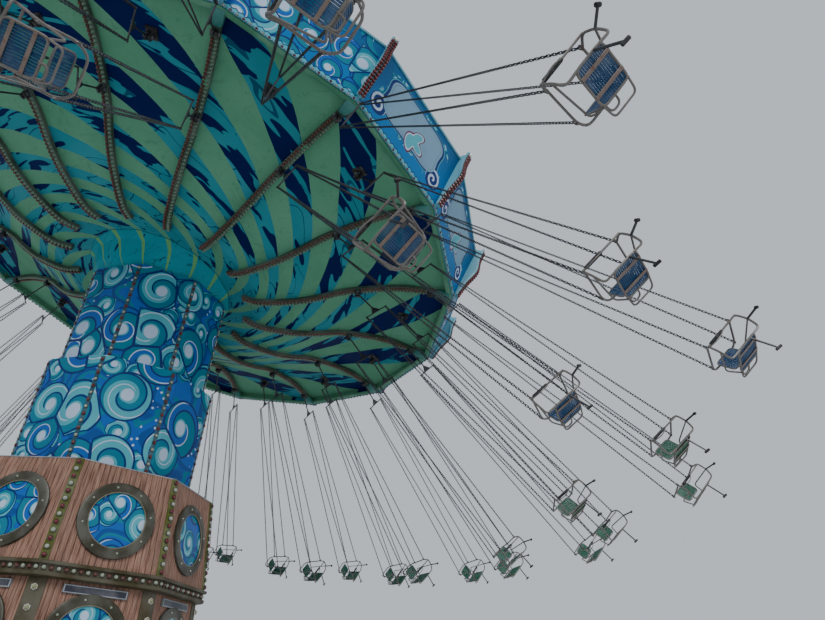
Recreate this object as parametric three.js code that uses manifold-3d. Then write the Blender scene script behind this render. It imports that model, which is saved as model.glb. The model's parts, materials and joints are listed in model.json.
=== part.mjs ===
// A chair swing ride: an octagonal base, a two-stage lifting tower, a tilting head,
// a turning crown of sixteen bays, and forty-eight chairs on chains in flight.
// Millimetres, +Z up, origin on the ground in the middle of the base.
import * as THREE from "three";
import { mergeVertices } from "three/addons/utils/BufferGeometryUtils.js";
import Module from "manifold-3d";

const wasm = await Module();
wasm.setup();

// Driving dimensions.
const SEAT_GAP = 0.3; // between two pieces that touch
const RUN_GAP = 6; // between pieces that pass each other
const BASE_TURN = -101.2; // degrees, one corner of the base
const TOWER_TURN = -66.85; // degrees, one corner of the tower
const OCTAGON = 8;

const BASE_FOOT_RADIUS = 2200;
const BASE_WAIST_RADIUS = 2000;
const CORNICE_BOTTOM = 2520;
const CORNICE_TOP = 2730;
const CORNICE_RADIUS = 2150;
const UPPER_FOOT_RADIUS = 2089;
const UPPER_HEAD_RADIUS = 1866;
const ROOF_BOTTOM = 4060;
const ROOF_TOP = 4180;
const ROOF_RADIUS = 1900;
const FLOOR_TOP = 300;
const WELL_RADIUS = 1680;
const DRUM_RADIUS = 1650;
const PORTHOLE_RADIUS = 540;
const PORTHOLE_PROUD = 30;
const PORTHOLE_SIDES = 8;
const LOWER_PORTHOLE_HEIGHT = 1840;

const LOWER_SLEEVE_RADIUS = 1546;
const LOWER_SLEEVE_TOP = 6050;
const LOWER_SLEEVE_FOOT = 2300;
const UPPER_SLEEVE_RADIUS = 1374;
const UPPER_SLEEVE_TOP = 8045;
const UPPER_SLEEVE_FOOT = 4300;
const SLEEVE_WALL = 70;
const CORNER_CUT = 35; // planed off each corner of a sleeve, for a strip of lights
const COLLAR_HEIGHT = 160;
const DIAPHRAGM_TOP = 7000;
const DIAPHRAGM_THICKNESS = 120;

const PIVOT_HEIGHT = 8800; // the tilt hinge above the ground
const TILT = 12.31; // degrees of the crown's axis from the vertical
const TILT_TOWARD = 17.77; // degrees, from +X toward +Y
const RIM_OVER_PIVOT = 711; // along the crown's axis, from the hinge to the rim plane
const TRUNNION_RADIUS = 200;
const FORK_THICKNESS = 120;
const FORK_FOOT = 8100;
const FORK_START = 260; // from the middle of the hinge to a cheek's inner face
const MOUTH_FLARE = 30; // the tower's mouth widens by this much
const MOUTH_DEPTH = 60; // over this height
const PEDESTAL_RADIUS = 400;
const SPINDLE_RADIUS = 250;
const SPINDLE_TOP = 1950;
const SHOULDER_RADIUS = 420;
const SHOULDER_TOP = 470;
const SHOULDER_THICKNESS = 120;

const BAYS = 16;
const BAY = 360 / BAYS;
const FIRST_RIB = -73.6; // degrees round the crown's axis
const NECK_RADIUS = 1435; // of the ball that closes the crown on the tower
const NECK_THICKNESS = 40;
const NECK_FOOT_ANGLE = 44; // degrees from the axis to the lower edge of the ball
const NECK_HEAD_ANGLE = 71; // and to its upper edge, where a cove meets the ceiling
const SEAM = [1500, -1040]; // radius and height of the neck's joint with the ceiling
const CEILING_CURVE = [
  [2200, -1060],
  [2900, -880],
  [3400, -650],
  [3800, -420],
  [4300, -230],
  [5000, -60],
];
const CEILING_BACK = [
  [5000, 10],
  [4300, -150],
  [2900, -780],
];
const CEILING_THICKNESS = 60;
const RIB_BACK = [
  [4300, -190],
  [3400, -600],
  [1860, -1020],
];
const RIB_START = [1860, -1100];
const RIB_DEPTH = 90;
const RIB_WIDTH = 120;
const RIM_BEAM_DEPTH = 120;
const RIM_BEAM_WIDTH = 90;
const FASCIA_FOOT_RADIUS = 6000;
const FASCIA_HEAD_RADIUS = 6300;
const FASCIA_HEIGHT = 1200;
const FASCIA_THICKNESS = 45;
const FIN_OUTLINE = [
  [6020, -100],
  [6110, -90],
  [6230, 260],
  [6400, 640],
  [6410, 980],
  [6470, 1300],
  [6300, 1300],
  [6270, 1150],
];
const FIN_THICKNESS = 50;
const EAVE_DROP = 60; // the roof's edge below the fascia's head
const ROOF_APEX = 1750;
const ROOF_SHEET = 40;
const HUB_RADIUS = 420;

const CHAIR_RINGS = [
  { name: "outer", hub: 5550, drop: -150, lug: 70, turn: 0, reach: 6120, flight: 52.3 },
  { name: "middle", hub: 5050, drop: -170, lug: 130, turn: BAY / 2, reach: 6080, flight: 48.9 },
  { name: "inner", hub: 4100, drop: -470, lug: 90, turn: 0, reach: 5910, flight: 46.2 },
];
const FLIGHT_LEAN = 9.6; // degrees of flight added on the crown's low side and taken off on its high side
const CHAIR_TRAIL = 2.9; // degrees round the crown's axis that the chains hang back from straight out
const GREEN_BAYS = [1.45, 9.45]; // the bays between which the seats are green; the others are blue
const LUG_THICKNESS = 40;
const LUG_HALF = 45;
const LUG_ROOT = 30; // of a lug inside the sheet that carries it
const STEM_LENGTH = 600;
const STEM_HEAD = 22;
const STEM_WIDTH = 40;
const STEM_THICKNESS = 30;
const SPREADER_HALF = 262;
const SPREADER_BAR = 36;
const CHAIN_STEP = 25; // across one chain's strip, along the chair's rail
const CHAIN_HEAD_HALF = 14; // of the two strips together at the spreader
const CHAIN_FORK = 130; // below the spreader, where the two strips part
const CHAIN_SET = 6; // of a strip's foot inside the rail's end
const RAIL_HALF = 237; // from the chair's middle to a side frame's rail
const CHAIR_TUBE = 28;
const FRAME_LEAN = 12.3; // degrees that a side frame leans in from its rail to the seat
// A side frame's corners, each as [toward the rider's back, over the seat].
const RAIL_FRONT = [-175, 352];
const RAIL_REAR = [175, 277];
const BOW_FRONT = [-273, 315];
const FOOT_FRONT = [-249, 24];
const FOOT_REAR = [113, -24];
// The seat's lower corners and the head of its back, on the same axes.
const SEAT_FRONT = [-239, 24];
const SEAT_REAR = [98, -22];
const BACK_TOP = [185, 300];
const SEAT_HALF = 172;
const SEAT_THICKNESS = 26;
const BAR_SET = 6; // of the front bar inside the side frames

const finish = (color, roughness, metalness) => new THREE.MeshStandardMaterial({ color, roughness, metalness });
const PLANK_RED = finish(0x6b3f33, 0.6, 0);
const OLIVE = finish(0x4e5a2e, 0.5, 0.1);
const TOWER_BLUE = finish(0x0b66a8, 0.35, 0);
const STEEL_GREY = finish(0x5c6468, 0.45, 0.8);
const NECK_TEAL = finish(0x0f7d88, 0.4, 0);
const CEILING_GREEN = finish(0x3f8a68, 0.45, 0);
const FASCIA_BLUE = finish(0x2a7fb5, 0.4, 0);
const ROOF_GREY = finish(0x8fa3a8, 0.6, 0);
const SEAT_BLUE = finish(0x173f66, 0.5, 0);
const SEAT_GREEN = finish(0x1f7a5c, 0.5, 0);

const rad = THREE.MathUtils.degToRad;

// A closed geometry as a solid, after its loose corners are merged.
function solid(geometry) {
  const bare = geometry.index ? geometry.toNonIndexed() : geometry.clone();
  for (const name of Object.keys(bare.attributes)) if (name !== "position") bare.deleteAttribute(name);
  const merged = mergeVertices(bare, 1e-2);
  return new wasm.Manifold(
    new wasm.Mesh({
      numProp: 3,
      vertProperties: new Float32Array(merged.attributes.position.array),
      triVerts: new Uint32Array(merged.index.array),
    }),
  );
}

const fuse = (solids) => solids.reduce((whole, next) => whole.add(next));

const cut = (whole, tools) => tools.reduce((left, tool) => left.subtract(tool), whole);

function meshOf(name, body, material, frame) {
  const data = body.getMesh();
  const geometry = new THREE.BufferGeometry();
  geometry.setAttribute("position", new THREE.BufferAttribute(new Float32Array(data.vertProperties), 3));
  geometry.setIndex(new THREE.BufferAttribute(new Uint32Array(data.triVerts), 1));
  geometry.computeVertexNormals();
  const mesh = new THREE.Mesh(geometry, material);
  mesh.name = name;
  if (frame) mesh.applyMatrix4(frame);
  return mesh;
}

// A prism between two heights, each a regular outline of its own radius.
function frustum(sides, turn, lowRadius, low, highRadius, high) {
  const points = [];
  for (const [radius, z] of [[lowRadius, low], [highRadius, high]]) {
    for (let k = 0; k < sides; k++) {
      const angle = rad(turn + (k * 360) / sides);
      points.push(radius * Math.cos(angle), radius * Math.sin(angle), z);
    }
  }
  const index = [];
  for (let k = 0; k < sides; k++) {
    const next = (k + 1) % sides;
    index.push(k, next, sides + next, k, sides + next, sides + k);
    if (k > 0 && k < sides - 1) index.push(0, next, k, sides, sides + k, sides + next);
  }
  const geometry = new THREE.BufferGeometry();
  geometry.setAttribute("position", new THREE.Float32BufferAttribute(points, 3));
  geometry.setIndex(index);
  return solid(geometry);
}

const ROUND_SIDES = 24;
const round = (radius, low, high, sides = ROUND_SIDES) => frustum(sides, 0, radius, low, radius, high);

// The corner radius of a many-sided bore in which a round of the given radius can turn.
const runningBore = (radius, sides) => radius / Math.cos(Math.PI / sides) + SEAT_GAP;

// A block from its two opposite corners.
function block(low, high) {
  const size = high.map((value, i) => value - low[i]);
  const centre = high.map((value, i) => (value + low[i]) / 2);
  return solid(new THREE.BoxGeometry(...size).translate(...centre));
}

// A bar of few sides between two points.
function bar(from, to, radius, sides = 4) {
  const start = new THREE.Vector3(...from);
  const along = new THREE.Vector3(...to).sub(start);
  const turn = new THREE.Quaternion().setFromUnitVectors(new THREE.Vector3(0, 0, 1), along.clone().normalize());
  const frame = new THREE.Matrix4().compose(start, turn, new THREE.Vector3(1, 1, 1));
  return frustum(sides, 45, radius, 0, radius, along.length()).transform(frame.elements);
}

// A flat plate from an outline in two axes, thickened evenly about the third.
// The plane is "yz" (thick along X) or "xz" (thick along Y).
function plate(outline, thickness, plane, holes = []) {
  const shape = new THREE.Shape(outline.map(([u, v]) => new THREE.Vector2(u, v)));
  for (const hole of holes) shape.holes.push(new THREE.Path(hole.map(([u, v]) => new THREE.Vector2(u, v))));
  const geometry = new THREE.ExtrudeGeometry(shape, { depth: thickness, bevelEnabled: false });
  geometry.translate(0, 0, -thickness / 2);
  geometry.rotateX(Math.PI / 2);
  if (plane === "yz") geometry.rotateZ(Math.PI / 2);
  return solid(geometry);
}

// The outline of a flat ring of even width: the same corners, moved in toward the middle.
function inset(outline, width) {
  const count = outline.length;
  return outline.map((corner, k) => {
    const before = new THREE.Vector2(...corner).sub(new THREE.Vector2(...outline[(k + count - 1) % count]));
    const after = new THREE.Vector2(...outline[(k + 1) % count]).sub(new THREE.Vector2(...corner));
    before.normalize();
    after.normalize();
    const half = before.clone().add(after).normalize();
    const inward = new THREE.Vector2(-half.y, half.x);
    const stretch = width / inward.dot(new THREE.Vector2(-before.y, before.x));
    return [corner[0] + inward.x * stretch, corner[1] + inward.y * stretch];
  });
}

// A surface of revolution in flat bays: a closed profile of (radius, height), corners on the ribs.
function bays(profile) {
  const points = [];
  const index = [];
  const rows = profile.length;
  for (let k = 0; k < BAYS; k++) {
    const angle = rad(FIRST_RIB + k * BAY);
    for (const [radius, height] of profile) {
      points.push(radius * Math.cos(angle), radius * Math.sin(angle), height);
    }
    const next = (k + 1) % BAYS;
    for (let row = 0; row < rows; row++) {
      const above = (row + 1) % rows;
      const [a, b] = [k * rows + row, next * rows + row];
      const [c, d] = [next * rows + above, k * rows + above];
      index.push(a, b, c, a, c, d);
    }
  }
  const geometry = new THREE.BufferGeometry();
  geometry.setAttribute("position", new THREE.Float32BufferAttribute(points, 3));
  geometry.setIndex(index);
  return solid(geometry);
}

const atRib = (body, k, turn = 0) => body.rotate([0, 0, FIRST_RIB + turn + k * BAY]);

// The base.
const faceApothem = (radius) => radius * Math.cos(Math.PI / OCTAGON);

// The porthole rims of one tier: a flat disc on each leaning face.
function portholes(footRadius, foot, headRadius, head, middle) {
  const share = (middle - foot) / (head - foot);
  const apothem = faceApothem(footRadius + (headRadius - footRadius) * share);
  const lean = Math.atan2(faceApothem(footRadius) - faceApothem(headRadius), head - foot);
  const depth = 2 * PORTHOLE_PROUD;
  const discs = [];
  for (let k = 0; k < OCTAGON; k++) {
    const disc = new THREE.CylinderGeometry(PORTHOLE_RADIUS, PORTHOLE_RADIUS, depth, PORTHOLE_SIDES);
    disc.rotateZ(Math.PI / 2);
    disc.rotateY(-lean);
    disc.translate(apothem, 0, middle);
    disc.rotateZ(rad(BASE_TURN + (k + 0.5) * (360 / OCTAGON)));
    discs.push(solid(disc));
  }
  return discs;
}

function baseLowerTier() {
  const top = CORNICE_BOTTOM - SEAT_GAP;
  const shell = frustum(OCTAGON, BASE_TURN, BASE_FOOT_RADIUS, 0, BASE_WAIST_RADIUS, top);
  const discs = portholes(BASE_FOOT_RADIUS, 0, BASE_WAIST_RADIUS, top, LOWER_PORTHOLE_HEIGHT);
  return cut(fuse([shell, ...discs]), [round(WELL_RADIUS, FLOOR_TOP, top + 1)]);
}

function baseCornice() {
  const ring = frustum(OCTAGON, BASE_TURN, CORNICE_RADIUS, CORNICE_BOTTOM, CORNICE_RADIUS, CORNICE_TOP);
  return cut(ring, [round(WELL_RADIUS, CORNICE_BOTTOM - 1, CORNICE_TOP + 1)]);
}

function baseUpperTier() {
  const [low, high] = [CORNICE_TOP + SEAT_GAP, ROOF_BOTTOM - SEAT_GAP];
  const shell = frustum(OCTAGON, BASE_TURN, UPPER_FOOT_RADIUS, low, UPPER_HEAD_RADIUS, high);
  const discs = portholes(UPPER_FOOT_RADIUS, low, UPPER_HEAD_RADIUS, high, (low + high) / 2);
  return cut(fuse([shell, ...discs]), [round(WELL_RADIUS, low - 1, high + 1)]);
}

function baseRoof() {
  const slab = frustum(OCTAGON, BASE_TURN, ROOF_RADIUS, ROOF_BOTTOM, ROOF_RADIUS, ROOF_TOP);
  return cut(slab, [round(runningBore(DRUM_RADIUS, ROUND_SIDES), ROOF_BOTTOM - 1, ROOF_TOP + 1)]);
}

// The tower: a turning drum, and two octagonal sleeves that slide up out of it.
const octagon = (radius, low, high) => frustum(OCTAGON, TOWER_TURN, radius, low, radius, high);

// A gap between parallel faces, as a step of the corner radius.
const cornerStep = (gap) => gap / Math.cos(Math.PI / OCTAGON);

// An octagonal sleeve with its corners planed flat.
function planedOctagon(radius, low, high) {
  const outer = cornerStep(radius - CORNER_CUT);
  const planes = frustum(OCTAGON, TOWER_TURN + 180 / OCTAGON, outer, low, outer, high);
  return octagon(radius, low, high).intersect(planes);
}

function turntable() {
  const [low, high] = [FLOOR_TOP + SEAT_GAP, ROOF_TOP];
  const bore = octagon(LOWER_SLEEVE_RADIUS + cornerStep(SEAT_GAP), low - 1, high + 1);
  return cut(round(DRUM_RADIUS, low, high), [bore]);
}

function lowerSleeve() {
  const tube = planedOctagon(LOWER_SLEEVE_RADIUS, LOWER_SLEEVE_FOOT, LOWER_SLEEVE_TOP);
  const collarFoot = LOWER_SLEEVE_TOP - COLLAR_HEIGHT;
  return cut(tube, [
    octagon(UPPER_SLEEVE_RADIUS + cornerStep(RUN_GAP), LOWER_SLEEVE_FOOT - 1, collarFoot),
    octagon(UPPER_SLEEVE_RADIUS + cornerStep(SEAT_GAP), collarFoot - 1, LOWER_SLEEVE_TOP + 1),
  ]);
}

// The upper sleeve carries the fork of the tilt hinge on a pedestal inside it,
// and its mouth flares to let the crown's ball pass.
function upperSleeve() {
  const forkTop = PIVOT_HEIGHT + TRUNNION_RADIUS;
  const bore = UPPER_SLEEVE_RADIUS - SLEEVE_WALL;
  const flareFoot = UPPER_SLEEVE_TOP - MOUTH_DEPTH;
  const tube = cut(planedOctagon(UPPER_SLEEVE_RADIUS, UPPER_SLEEVE_FOOT, UPPER_SLEEVE_TOP), [
    octagon(bore, UPPER_SLEEVE_FOOT - 1, DIAPHRAGM_TOP - DIAPHRAGM_THICKNESS),
    octagon(bore, DIAPHRAGM_TOP, flareFoot),
    frustum(OCTAGON, TOWER_TURN, bore, flareFoot, bore + MOUTH_FLARE, UPPER_SLEEVE_TOP + 1),
  ]);
  const cheekEnd = FORK_START + FORK_THICKNESS;
  const cheeks = [-1, 1].map((side) =>
    block(
      [-TRUNNION_RADIUS, Math.min(side * FORK_START, side * cheekEnd), FORK_FOOT - 1],
      [TRUNNION_RADIUS, Math.max(side * FORK_START, side * cheekEnd), forkTop],
    ).rotate([0, 0, TILT_TOWARD]),
  );
  return fuse([tube, round(PEDESTAL_RADIUS, DIAPHRAGM_TOP - 1, FORK_FOOT, 12), ...cheeks]);
}

// The crown's own frame: origin on the tilt hinge, Z along the crown's axis.
function crownFrame() {
  const [tilt, toward] = [rad(TILT), rad(TILT_TOWARD)];
  const axis = new THREE.Vector3(
    Math.sin(tilt) * Math.cos(toward),
    Math.sin(tilt) * Math.sin(toward),
    Math.cos(tilt),
  );
  const first = new THREE.Vector3(0, 1, 0).cross(axis).normalize();
  const second = axis.clone().cross(first);
  const frame = new THREE.Matrix4().makeBasis(first, second, axis);
  return frame.setPosition(0, 0, PIVOT_HEIGHT);
}

// The tilt head: a trunnion between the fork's cheeks, and the spindle that carries the crown.
function tiltHead() {
  const half = FORK_START - SEAT_GAP;
  const toCrown = new THREE.Matrix4().copy(CROWN_FRAME).setPosition(0, 0, 0).transpose();
  const hinge = new THREE.Vector3(-Math.sin(rad(TILT_TOWARD)), Math.cos(rad(TILT_TOWARD)), 0);
  hinge.applyMatrix4(toCrown).multiplyScalar(half);
  const end = hinge.toArray();
  const start = hinge.negate().toArray();
  return fuse([
    bar(start, end, TRUNNION_RADIUS - 20, 12),
    round(SPINDLE_RADIUS, 0, SPINDLE_TOP, BAYS),
    round(SHOULDER_RADIUS, SHOULDER_TOP - SHOULDER_THICKNESS, SHOULDER_TOP, BAYS),
  ]);
}

// Heights below are above the rim plane; RIM_OVER_PIVOT moves them into the crown's frame.
const fromRim = (body) => body.translate([0, 0, RIM_OVER_PIVOT]);

// The neck: a ball zone round the tilt hinge, so it turns and tilts in the tower's mouth,
// and a cove that flares from the ball to the ceiling.
function crownNeck() {
  const onBall = (radius, degrees) => [radius * Math.sin(rad(degrees)), -radius * Math.cos(rad(degrees))];
  const inner = NECK_RADIUS - NECK_THICKNESS;
  const middle = (NECK_FOOT_ANGLE + NECK_HEAD_ANGLE) / 2;
  const seam = SEAM[0] - SEAT_GAP;
  const seamHeight = SEAM[1] + RIM_OVER_PIVOT;
  return bays([
    onBall(NECK_RADIUS, NECK_FOOT_ANGLE),
    onBall(NECK_RADIUS, middle),
    onBall(NECK_RADIUS, NECK_HEAD_ANGLE),
    [seam, seamHeight],
    [seam, seamHeight + CEILING_THICKNESS],
    [seam - NECK_THICKNESS, seamHeight + CEILING_THICKNESS],
    onBall(inner, NECK_HEAD_ANGLE),
    onBall(inner, NECK_FOOT_ANGLE),
  ]);
}

// The ceiling: sixteen bays of sheeting, a rib on each corner, the rim beam and the chairs' lugs.
function crownCeiling() {
  const rim = FASCIA_FOOT_RADIUS;
  const sheet = bays([
    SEAM,
    ...CEILING_CURVE,
    [rim - RIM_BEAM_WIDTH, -5],
    [rim - RIM_BEAM_WIDTH, -RIM_BEAM_DEPTH],
    [rim, -RIM_BEAM_DEPTH],
    [rim, CEILING_THICKNESS],
    ...CEILING_BACK,
    [SEAM[0], SEAM[1] + CEILING_THICKNESS],
  ]);
  const foot = CEILING_CURVE.map(([radius, height]) => [radius, height - RIB_DEPTH]);
  const rib = plate(
    [
      RIB_START,
      ...foot,
      [rim - RIM_BEAM_WIDTH / 2, -RIB_DEPTH],
      [rim - RIM_BEAM_WIDTH / 2, CEILING_THICKNESS / 2],
      ...RIB_BACK,
    ],
    RIB_WIDTH,
    "xz",
  );
  const pieces = [sheet];
  for (let k = 0; k < BAYS; k++) pieces.push(atRib(rib, k));
  for (const ring of CHAIR_RINGS) {
    for (let k = 0; k < BAYS; k++) pieces.push(atRib(lug(ring), k, ring.turn));
  }
  return fromRim(fuse(pieces));
}

// A lug under a rib or a bay; the chair's stem turns on its pin, flat against one side.
function lug(ring) {
  const side = STEM_THICKNESS / 2 + SEAT_GAP;
  const high = [LUG_HALF, side + LUG_THICKNESS, ring.lug + LUG_ROOT];
  const plain = block([-LUG_HALF, side, -LUG_HALF], high);
  return plain.rotate([0, 0, CHAIR_TRAIL]).translate([ring.hub, 0, ring.drop]);
}

// The fascia: sixteen leaning panels, and a curved fin standing out at each corner.
function crownFascia() {
  const foot = CEILING_THICKNESS + SEAT_GAP;
  const drop = -RIM_BEAM_DEPTH;
  const panel = bays([
    [FASCIA_FOOT_RADIUS + SEAT_GAP, drop],
    [FASCIA_FOOT_RADIUS + FASCIA_THICKNESS, drop],
    [FASCIA_HEAD_RADIUS, FASCIA_HEIGHT],
    [FASCIA_HEAD_RADIUS - FASCIA_THICKNESS, FASCIA_HEIGHT],
    [FASCIA_FOOT_RADIUS + SEAT_GAP, foot],
  ]);
  const fin = plate(FIN_OUTLINE, FIN_THICKNESS, "xz");
  const pieces = [panel];
  for (let k = 0; k < BAYS; k++) pieces.push(atRib(fin, k));
  return fromRim(fuse(pieces));
}

// The fascia's inner face leans out: its radius at a height over the rim plane.
function fasciaInside(height) {
  const [foot, head] = [FASCIA_FOOT_RADIUS + SEAT_GAP, FASCIA_HEAD_RADIUS - FASCIA_THICKNESS];
  const low = CEILING_THICKNESS + SEAT_GAP;
  return foot + ((head - foot) * (height - low)) / (FASCIA_HEIGHT - low);
}

// The roof: a low cone of sixteen sheets on the hub that turns on the spindle.
function crownRoof() {
  const eaveTop = FASCIA_HEIGHT - EAVE_DROP;
  const eave = fasciaInside(eaveTop - ROOF_SHEET) - SEAT_GAP;
  const hubFoot = SHOULDER_TOP + SEAT_GAP - RIM_OVER_PIVOT;
  const bore = runningBore(SPINDLE_RADIUS, BAYS);
  return fromRim(
    bays([
      [bore, hubFoot],
      [HUB_RADIUS, hubFoot],
      [HUB_RADIUS, ROOF_APEX - ROOF_SHEET],
      [eave, eaveTop - ROOF_SHEET],
      [eave, eaveTop],
      [HUB_RADIUS, ROOF_APEX],
      [bore, ROOF_APEX],
    ]),
  );
}

// The two chains of one side in their plane, from the spreader down into the side frame's rail.
function chainPair(seat) {
  const knot = -STEM_LENGTH;
  const sink = CHAIR_TUBE / 2;
  const front = [RAIL_FRONT[0] + CHAIN_SET, seat + RAIL_FRONT[1] - sink];
  const rear = [RAIL_REAR[0] - CHAIN_SET, seat + RAIL_REAR[1] - sink];
  const slope = (rear[1] - front[1]) / (rear[0] - front[0]);
  const outline = [
    [-CHAIN_HEAD_HALF, knot],
    front,
    [front[0] + CHAIN_STEP, front[1] + CHAIN_STEP * slope],
    [0, knot - CHAIN_FORK],
    [rear[0] - CHAIN_STEP, rear[1] - CHAIN_STEP * slope],
    rear,
    [CHAIN_HEAD_HALF, knot],
  ];
  return plate(outline, CHAIR_TUBE, "yz");
}

// An open side frame under its rail, leaning in toward the seat. Its end is -1 or 1.
function sideFrame(seat, end) {
  const railHeight = (RAIL_FRONT[1] + RAIL_REAR[1]) / 2;
  const corners = [BOW_FRONT, FOOT_FRONT, FOOT_REAR, RAIL_REAR, RAIL_FRONT];
  const outline = corners.map(([y, z]) => [y, z - railHeight]);
  const lean = new THREE.Matrix4().makeRotationY(end * rad(FRAME_LEAN));
  const place = new THREE.Matrix4().makeTranslation(end * RAIL_HALF, 0, seat + railHeight);
  const flat = plate(outline, CHAIR_TUBE, "yz", [inset(outline, CHAIR_TUBE)]);
  return flat.transform(place.multiply(lean).elements);
}

// The seat and its back: one bent sheet between the side frames.
function seatShell(seat) {
  const thick = SEAT_THICKNESS;
  const outline = [
    SEAT_FRONT,
    SEAT_REAR,
    BACK_TOP,
    [BACK_TOP[0] - thick, BACK_TOP[1]],
    [SEAT_REAR[0] - thick, SEAT_REAR[1] + thick],
    [SEAT_FRONT[0], SEAT_FRONT[1] + thick],
  ];
  return plate(outline, 2 * SEAT_HALF, "yz").translate([0, 0, seat]);
}

// A chair with its chains, in its own frame: origin on the lug's pin, chains running down -Z,
// X outward from the crown's axis, the rider facing -Y.
function chair(reach) {
  const seat = -reach;
  const knot = -STEM_LENGTH;
  const half = SPREADER_BAR / 2;
  const barTop = seat + BOW_FRONT[1] - BAR_SET;
  const barFront = BOW_FRONT[0] + BAR_SET;
  const pieces = [
    block(
      [-STEM_WIDTH / 2, -STEM_THICKNESS / 2, knot],
      [STEM_WIDTH / 2, STEM_THICKNESS / 2, STEM_HEAD],
    ),
    block([-SPREADER_HALF, -half, knot - half], [SPREADER_HALF, half, knot + half]),
    seatShell(seat),
    block([-RAIL_HALF, barFront, barTop - CHAIR_TUBE], [RAIL_HALF, barFront + CHAIR_TUBE, barTop]),
  ];
  for (const end of [-1, 1]) {
    pieces.push(chainPair(seat).translate([end * RAIL_HALF, 0, 0]), sideFrame(seat, end));
  }
  return fuse(pieces);
}

// Where a chair hangs: on its lug, trailing a little, swung out by its flight from the crown's axis.
function chairFrame(ring, k) {
  const place = FIRST_RIB + ring.turn + k * BAY;
  const flight = ring.flight + FLIGHT_LEAN * Math.cos(rad(place - TILT_TOWARD));
  const around = new THREE.Matrix4().makeRotationZ(rad(place));
  const out = new THREE.Matrix4().makeTranslation(ring.hub, 0, ring.drop + RIM_OVER_PIVOT);
  const trail = new THREE.Matrix4().makeRotationZ(rad(CHAIR_TRAIL));
  const swing = new THREE.Matrix4().makeRotationY(-rad(flight));
  return around.multiply(out).multiply(trail).multiply(swing);
}

// Half of the ring of chairs is blue and half is green.
function seatFinish(ring, k) {
  const bay = k + ring.turn / BAY;
  return bay > GREEN_BAYS[0] && bay < GREEN_BAYS[1] ? SEAT_GREEN : SEAT_BLUE;
}

const CROWN_FRAME = crownFrame();
const ride = new THREE.Group();
ride.add(
  meshOf("base_lower_tier", baseLowerTier(), PLANK_RED),
  meshOf("base_cornice", baseCornice(), OLIVE),
  meshOf("base_upper_tier", baseUpperTier(), PLANK_RED),
  meshOf("base_roof", baseRoof(), OLIVE),
  meshOf("turntable_drum", turntable(), STEEL_GREY),
  meshOf("lower_sleeve", lowerSleeve(), TOWER_BLUE),
  meshOf("upper_sleeve", upperSleeve(), TOWER_BLUE),
);

const crown = new THREE.Group();
crown.applyMatrix4(CROWN_FRAME);
crown.add(
  meshOf("tilt_head", tiltHead(), STEEL_GREY),
  meshOf("crown_neck", crownNeck(), NECK_TEAL),
  meshOf("crown_ceiling", crownCeiling(), CEILING_GREEN),
  meshOf("crown_fascia", crownFascia(), FASCIA_BLUE),
  meshOf("crown_roof", crownRoof(), ROOF_GREY),
);
for (const ring of CHAIR_RINGS) {
  const body = chair(ring.reach);
  for (let k = 0; k < BAYS; k++) {
    const name = "chair_" + ring.name + "_" + String(k + 1).padStart(2, "0");
    crown.add(meshOf(name, body, seatFinish(ring, k), chairFrame(ring, k)));
  }
}
ride.add(crown);

export default ride;
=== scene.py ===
"""Looks of a chair swing ride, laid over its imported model.

Boards and portholes on the base, painted sleeves, a painted ceiling under the crown, rows of light bulbs,
and forty-eight chairs on chains. Metres throughout, in the model's own frame. The crown has a frame of its
own too: its origin is in the middle of the rim plane, its Z is the axis that it spins on.
"""

import json
import math

import bpy
import numpy as np
from bpy.props import FloatProperty, FloatVectorProperty, IntProperty, PointerProperty
from mathutils import Matrix, Vector


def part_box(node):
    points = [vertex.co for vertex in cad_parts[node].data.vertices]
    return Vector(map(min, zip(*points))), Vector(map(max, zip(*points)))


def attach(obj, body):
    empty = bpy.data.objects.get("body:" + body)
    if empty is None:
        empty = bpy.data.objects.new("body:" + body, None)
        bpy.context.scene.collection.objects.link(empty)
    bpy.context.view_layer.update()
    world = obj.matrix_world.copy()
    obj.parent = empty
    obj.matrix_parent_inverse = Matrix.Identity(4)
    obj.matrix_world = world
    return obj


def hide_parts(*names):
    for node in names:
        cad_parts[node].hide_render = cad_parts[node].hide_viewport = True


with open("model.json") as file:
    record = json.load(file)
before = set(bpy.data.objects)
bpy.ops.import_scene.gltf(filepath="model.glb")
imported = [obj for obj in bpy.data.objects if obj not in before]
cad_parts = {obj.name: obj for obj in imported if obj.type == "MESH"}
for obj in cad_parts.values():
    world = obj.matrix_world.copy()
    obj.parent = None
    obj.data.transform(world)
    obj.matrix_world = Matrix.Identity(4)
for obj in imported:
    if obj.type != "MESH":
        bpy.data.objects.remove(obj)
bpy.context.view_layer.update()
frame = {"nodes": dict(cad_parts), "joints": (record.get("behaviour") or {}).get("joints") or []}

bl_info = {
    "name": "Chair Swing Ride",
    "version": (1, 0, 0),
    "blender": (4, 5, 0),
    "location": "View3D > Sidebar > Swing Ride",
    "description": "Dresses the fixed frame of a chair swing ride with boards, paint, bulbs and chairs",
    "category": "Object",
}

TURN = 2 * math.pi
UP = np.array((0.0, 0.0, 1.0))
SHARP_EDGE = math.radians(38)


def unit(vectors):
    """Vectors divided by their length."""
    vectors = np.asarray(vectors, float)
    return vectors / np.linalg.norm(vectors, axis=-1, keepdims=True)


def even_angles(count, shift=0.0):
    """Angles at even steps over a whole turn, the first a share of a step after 0."""
    return (np.arange(count) + shift) * TURN / count


def spokes(angles):
    """Level directions at angles from X toward Y."""
    angles = np.asarray(angles, float)
    return np.stack([np.cos(angles), np.sin(angles), np.zeros_like(angles)], axis=1)


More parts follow.
